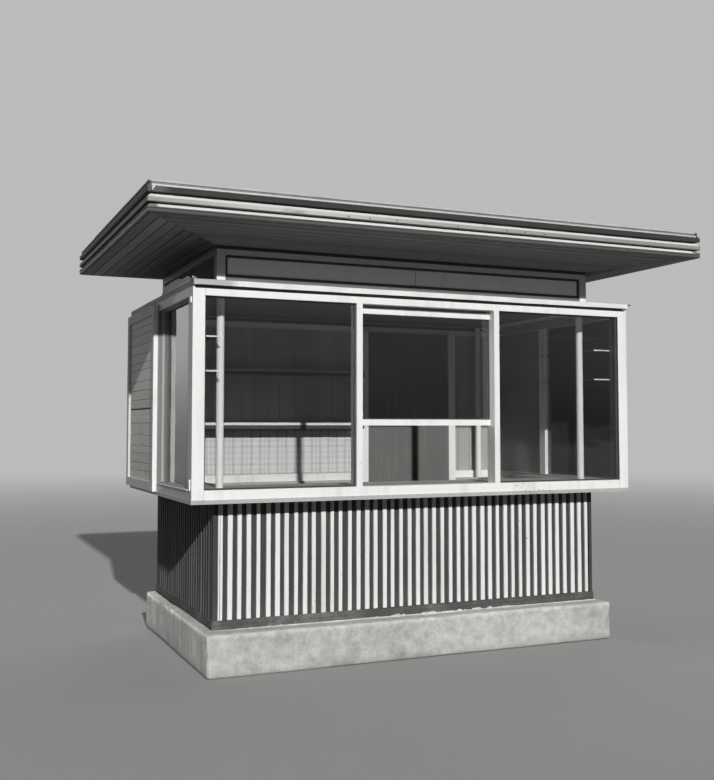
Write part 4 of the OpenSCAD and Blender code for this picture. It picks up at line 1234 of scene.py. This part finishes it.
class KIOSK_OT_skirt_roof(bpy.types.Operator):
    """Fold the metal edge and the seams of the skirt roof"""

    bl_idname = "kiosk.skirt_roof"
    bl_label = "Skirt roof"

    def execute(self, context):
        low, high = span("skirt_roof_long_sides")
        edge_h = 0.020
        z = (low[2] - 0.0085, low[2] + edge_h + 0.002)
        proud, end = 0.0015, 0.05
        long_run, short_run = (low[0] - proud, high[0] + proud), (low[1], high[1])
        edges = ((FRONT, low[1] - proud, long_run), (REAR, high[1] + proud, long_run),
                 (LEFT, low[0] - proud, short_run), (RIGHT, high[0] + proud, short_run))
        shells = [boards(side, level, along, z, 0.0014, 0.0003, 70, 0.0016, 0.0014, 91 + k)
                  for k, (side, level, along) in enumerate(edges)]
        x, reach = high[0], high[0] + 0.024
        y0, y1 = low[1] + end, high[1] - end
        lip = level_quads((x, reach), ((low[1], y0), (y1, high[1])), z[1])
        lip.append([(x, y0, z[1]), (x, y1, z[1]), (reach, y0, z[1]), (reach, y1, z[1])])
        shells.append(planks(lip, UP, 0.009, 0.002, 30, 0.0010, 0.0004, 96))
        make_piece("skirt_drip_edge", shells, "skirt zinc")
        self.seams(low, high, edge_h)
        self.loose_sheet(low)
        self.curl(low)
        return {"FINISHED"}

    def seams(self, low, high, edge_h):
        """Flat folded seams up the slope, one at each joint of the sheets."""
        sign_low, sign_high = span("sign_sill_rails")
        quads, outs = [], []
        w, t = 0.009, 0.0035
        z0, z1 = low[2] + edge_h + t, high[2] + t
        for axis, sheets, sides in ((1, 5, (FRONT, REAR)), (0, 3, (LEFT, RIGHT))):
            joints = np.linspace(low[1 - axis], high[1 - axis], sheets + 1)[1:-1]
            for joint in joints:
                for out, eave, wall in zip(sides, (low, high), (sign_low, sign_high)):
                    corners = np.empty((4, 3))
                    corners[:, 1 - axis] = joint - w, joint - w, joint + w, joint + w
                    corners[:, axis] = eave[axis], wall[axis], eave[axis], wall[axis]
                    corners[:, 2] = z0, z1, z0, z1
                    slope = (z1 - z0) * out + abs(wall[axis] - eave[axis]) * UP
                    quads.append(corners)
                    outs.append(unit(slope))
        make_piece("skirt_seams", planks(quads, np.array(outs), t, 0.001, 6, 0.0004, 0.0, 95),
                   "skirt zinc")

    def loose_sheet(self, low):
        """Sheet that the wind has bent up along the left eave: it leans out from its foot to an edge
        whose height follows LOOSE_SHEET, with small waves along it."""
        places, tops = np.array(LOOSE_SHEET).T
        y = np.linspace(places[0], places[-1], 90)
        s = np.linspace(0, 1, 8)
        foot = low[2] + 0.012
        ragged = ragged_line(y)
        edge = np.interp(y, places, tops) + 0.003 * lattice_noise(ragged, 0.04, 97)
        z = foot + (edge - foot)[:, None] * s
        lean = 0.006 * s * s + 0.002 * lattice_noise(ragged, 0.09, 98)[:, None] * s
        x = low[0] - 0.004 - lean
        top = np.stack([x, np.broadcast_to(y[:, None], z.shape), z], -1)
        bottom = top + np.array([0.0012, 0.0, 0.0])
        make_piece("bent_sheet_edge", sheet(top, bottom), "loose zinc", smooth=True)

    def curl(self, low):
        """A loose corner of the sheet, bent up: its angle grows with the distance from the fold."""
        s, t = np.meshgrid(np.linspace(0, 1, 12), np.linspace(0, 1, 10), indexing="ij")
        bend = 0.2 + 1.9 * s
        radius = 0.011
        out = radius * np.sin(bend) * (1 - 0.5 * t)
        rise = radius * (1 - np.cos(bend)) * (1 - 0.5 * t)
        x = low[0] - 0.002 - out + 0.022 * t
        y = low[1] - 0.002 - 0.6 * out + 0.030 * t * (1 - s)
        z = low[2] + 0.020 + rise
        top = np.stack([x, y, z], -1)
        bottom = top - np.array([0.0008, 0.0008, 0.0012])
        make_piece("loose_sheet_corner", sheet(top, bottom), "loose zinc", smooth=True)


class KIOSK_OT_sign_band(bpy.types.Operator):
    """Bead the bare sign panes and board the band's other sides"""

    bl_idname = "kiosk.sign_band"
    bl_label = "Sign band"

    def execute(self, context):
        low, high = span("sign_front_panes")
        bead_w, foot_h, sill_h, board_w = 0.015, 0.026, 0.012, 0.105
        quads = mitred_frame((low[0], low[1] - 0.006, low[2]), RIGHT, UP, high[0] - low[0],
                             high[2] - low[2], bead_w)
        across = (low[0], high[0])
        foot = boards(FRONT, low[1] - 0.0065, across, (low[2], low[2] + foot_h), 0.008, 0.001, seed=101)
        sill = boards(FRONT, low[1] - 0.0075, across, (low[2], low[2] + sill_h), 0.009, 0.001, seed=100)
        joint = boards(FRONT, low[1] - 0.0006, (-0.0012, 0.0012), (low[2], high[2]), 0.002, 0.0003, seed=102,
                       rise=True)
        make_piece("sign_sill_bead", sill, "sign sill")
        shells = [planks(quads, FRONT, 0.008, 0.001, seed=101), foot, joint]
        make_piece("sign_beads", shells, "putty")
        board_low, board_high = span("sign_side_boards")
        rng = np.random.default_rng(103)
        shells = []
        y0, y1 = board_low[1], span("sign_top_rails")[1][1] - 0.050
        sides = ((LEFT, board_low[0], (y0, y1)), (RIGHT, board_high[0], (y0, y1)),
                 (REAR, board_high[1], (board_low[0] + 0.036, board_high[0] - 0.036)))
        for k, (side, level, (start, end)) in enumerate(sides):
            places = split(start, end, int(round((end - start) / board_w)), 0.0015, rng, 0.008)
            level = level + 0.005 * (side[0] + side[1])
            shells.append(boards(side, level, places, (board_low[2], board_high[2]), 0.005, 0.002, 2, 0.0,
                                 0.0008, 104 + k, rise=True))
        make_piece("sign_side_planks", shells, "putty")
        return {"FINISHED"}


class KIOSK_OT_soffit(bpy.types.Operator):
    """Board the underside of the canopy, mitred at its corners"""

    bl_idname = "kiosk.soffit"
    bl_label = "Soffit boards"

    def execute(self, context):
        sizes = context.scene.kiosk_sizes
        low, high = span("soffit_long_sides")
        sign_low, sign_high = span("sign_top_rails")
        thick = sizes.soffit_board_t
        outer_z, inner_z = high[2] - thick, sign_high[2]
        outer, inner = (np.array([(a[0], a[1], z), (b[0], a[1], z), (b[0], b[1], z), (a[0], b[1], z)])
                        for a, b, z in ((low, high, outer_z), (sign_low, sign_high, inner_z)))
        gap = 0.0032
        shells = []
        for side in range(4):
            a, b = outer[side], outer[(side + 1) % 4]
            c, d = inner[side], inner[(side + 1) % 4]
            cut = np.array([0, *np.linspace(0.3 / sizes.soffit_boards, 1, sizes.soffit_boards + 1)])
            run = np.linalg.norm(np.cross(b - a, c - a)) / np.linalg.norm(b - a)
            t0 = cut[:-1] + np.where(cut[:-1] > 0, gap / run, 0)
            t1 = cut[1:] - gap / run
            quads = np.stack([a + t0[:, None] * (c - a), b + t0[:, None] * (d - b),
                              a + t1[:, None] * (c - a), b + t1[:, None] * (d - b)], 1)
            down = unit(np.cross(b - a, c - a))
            down = -down * np.sign(down[2])
            shells.append(planks(quads, down, thick, 0.0040, 40, 0.0007, 0.0010, 111 + side))
        make_piece("soffit_boarding", shells[::2], "soffit",
                   ["soffit_long_sides"])
        make_piece("soffit_side_boarding", shells[1::2], "side soffit",
                   ["soffit_short_sides"])
        return {"FINISHED"}


class KIOSK_OT_fascia(bpy.types.Operator):
    """Nail the battens and cap the mitres of the flashing"""

    bl_idname = "kiosk.fascia"
    bl_label = "Fascia"

    def execute(self, context):
        sizes = context.scene.kiosk_sizes
        low, high = span("fascia_middle_battens")
        rng = np.random.default_rng(121)
        sides = ((FRONT, low[1], high[0]), (REAR, high[1], high[0]),
                 (LEFT, low[0], high[1]), (RIGHT, high[0], high[1]))
        shells = []
        for side, level, end in sides:
            along = np.array(NAILED_AT)[np.abs(NAILED_AT) < end]
            rise = low[2] + 0.012 + rng.uniform(-0.002, 0.002, len(along))
            fixed = np.full(len(along), level)
            xy = (along, fixed) if abs(side[1]) > 0.5 else (fixed, along)
            shells.append(nails(np.stack([*xy, rise], -1), side, sizes.nail_d))
        make_piece("batten_nails", shells, "iron")
        self.patch()
        self.caps()
        self.hook()
        return {"FINISHED"}

    def patch(self):
        """A slanted strip of bright sheet nailed near the left end of the upper batten."""
        low, high = span("fascia_upper_battens")
        x, y = low[0] + 0.010, low[1] - 0.0012
        quad = [(x, y, low[2] + 0.001), (x + 0.020, y, high[2]),
                (x + 0.014, y, low[2] + 0.001), (x + 0.034, y, high[2])]
        make_piece("batten_patch", planks([quad], FRONT, 0.0014, 0.0003, 4, 0.0, 0.0003, 122),
                   "flashing zinc")

    def caps(self):
        """Sheet caps folded round the corners of the flashing."""
        low, high = span("roof_flashing")
        z = (low[2] - 0.012, low[2] + 0.008)
        w, t = 0.034, 0.0016
        quads, outs = [], []
        for x, sx in ((low[0], 1), (high[0], -1)):
            for y, sy in ((low[1], 1), (high[1], -1)):
                outs += [sy * FRONT, sx * LEFT]
                front, side = sorted((x - sx * t, x + sx * w)), sorted((y, y + sy * w))
                quads += [face_quads(FRONT, y - sy * t, front, z, rise=False),
                          face_quads(LEFT, x - sx * t, side, z, rise=False)]
        shell = planks(np.concatenate(quads), np.array(outs), t, 0.0004, 8, 0.0012, 0.0006, 131)
        make_piece("flashing_caps", shell, "flashing zinc")

    def hook(self):
        """A small bent wire hook under the left edge of the canopy."""
        low, high = span("soffit_long_sides")
        angle = np.linspace(-0.5 * np.pi, 1.1 * np.pi, 16)
        radius, wire = 0.007, 0.0016
        centre = np.array([low[0] + 0.012, -0.006, high[2] - 0.042])
        path = centre + radius * np.stack([0 * angle, np.cos(angle), np.sin(angle)], -1)
        stem = np.array([[centre[0], centre[1] + path[-1, 1] - centre[1], high[2] - 0.018]])
        path = np.concatenate([path, stem])
        make_piece("wire_hook", round_wire(path, wire), "iron", smooth=True)


class KIOSK_OT_roof(bpy.types.Operator):
    """Lay the roofing felt in lapped sheets"""

    bl_idname = "kiosk.roof"
    bl_label = "Roofing felt"

    def execute(self, context):
        sizes = context.scene.kiosk_sizes
        low, high = span("roof_deck")
        count = int(math.ceil((high[1] - low[1]) / sizes.felt_w))
        edges = np.linspace(low[1], high[1], count + 1)
        lap, thick = 0.08, 0.0025
        shells = []
        for k in range(count):
            y0 = edges[k] - (lap if k else 0)
            x = np.linspace(low[0] + 0.002, high[0] - 0.002, 90)
            y = np.linspace(y0, edges[k + 1], 24)
            gx, gy = np.meshgrid(x, y, indexing="ij")
            flat = np.stack([gx, gy, np.zeros_like(gx)], -1)
            swell = 0.0010 * lattice_noise(flat, 0.45, 141 + k) + 0.0005 * lattice_noise(flat, 0.09, 151)
            gz = high[2] + thick + 0.0016 + swell + 0.0018 * (gy < edges[k] + 0.001) * (k > 0)
            top = np.stack([gx, gy, gz], -1)
            bottom = top.copy()
            bottom[..., 2] = gz - thick
            shells.append(sheet(top, bottom))
        make_piece("felt_sheets", shells, "felt", smooth=True)
        self.verges()
        return {"FINISHED"}

    def verges(self):
        """Strips of felt folded down along both ends of the roof: the front one stands higher."""
        low, high = span("roof_flashing")
        meet, foot = 0.55, high[2] - 0.018
        shells = []
        for k, (side, x) in enumerate(((LEFT, low[0]), (RIGHT, high[0]))):
            along = ((low[1] + 0.004, meet), (meet - 0.004, high[1]))
            heights = ((foot, high[2] - 0.0050), (foot, high[2] - 0.0095))
            shells.append(boards(side, x, along, heights, 0.005, 0.001, 60, 0.0006, 0.0004, 171 + k))
        make_piece("verge_strips", shells, "felt")


class KIOSK_PT_panel(bpy.types.Panel):
    """Steps that dress the kiosk, with its sizes and colours"""

    bl_label = "Kiosk"
    bl_idname = "KIOSK_PT_panel"
    bl_space_type = "VIEW_3D"
    bl_region_type = "UI"
    bl_category = "Kiosk"

    def draw(self, context):
        for group in (context.scene.kiosk_sizes, context.scene.kiosk_colours):
            box = self.layout.box()
            for name in group.__annotations__:
                box.prop(group, name)
        for operator in OPERATORS:
            self.layout.operator(operator.bl_idname)


OPERATORS = (
    KIOSK_OT_stage, KIOSK_OT_frame_finishes, KIOSK_OT_plinth, KIOSK_OT_lower_walls,
    KIOSK_OT_glazing, KIOSK_OT_shutters, KIOSK_OT_interior, KIOSK_OT_rear, KIOSK_OT_skirt_roof,
    KIOSK_OT_sign_band, KIOSK_OT_soffit, KIOSK_OT_fascia, KIOSK_OT_roof,
)
CLASSES = (KioskSizes, KioskColours, *OPERATORS, KIOSK_PT_panel)


def register():
    for cls in CLASSES:
        bpy.utils.register_class(cls)
    bpy.types.Scene.kiosk_sizes = PointerProperty(type=KioskSizes)
    bpy.types.Scene.kiosk_colours = PointerProperty(type=KioskColours)


def unregister():
    del bpy.types.Scene.kiosk_colours
    del bpy.types.Scene.kiosk_sizes
    for cls in reversed(CLASSES):
        bpy.utils.unregister_class(cls)


def main():
    register()
    for operator in OPERATORS:
        group, name = operator.bl_idname.split(".")
        getattr(getattr(bpy.ops, group), name)()


if __name__ == "__main__":
    main()
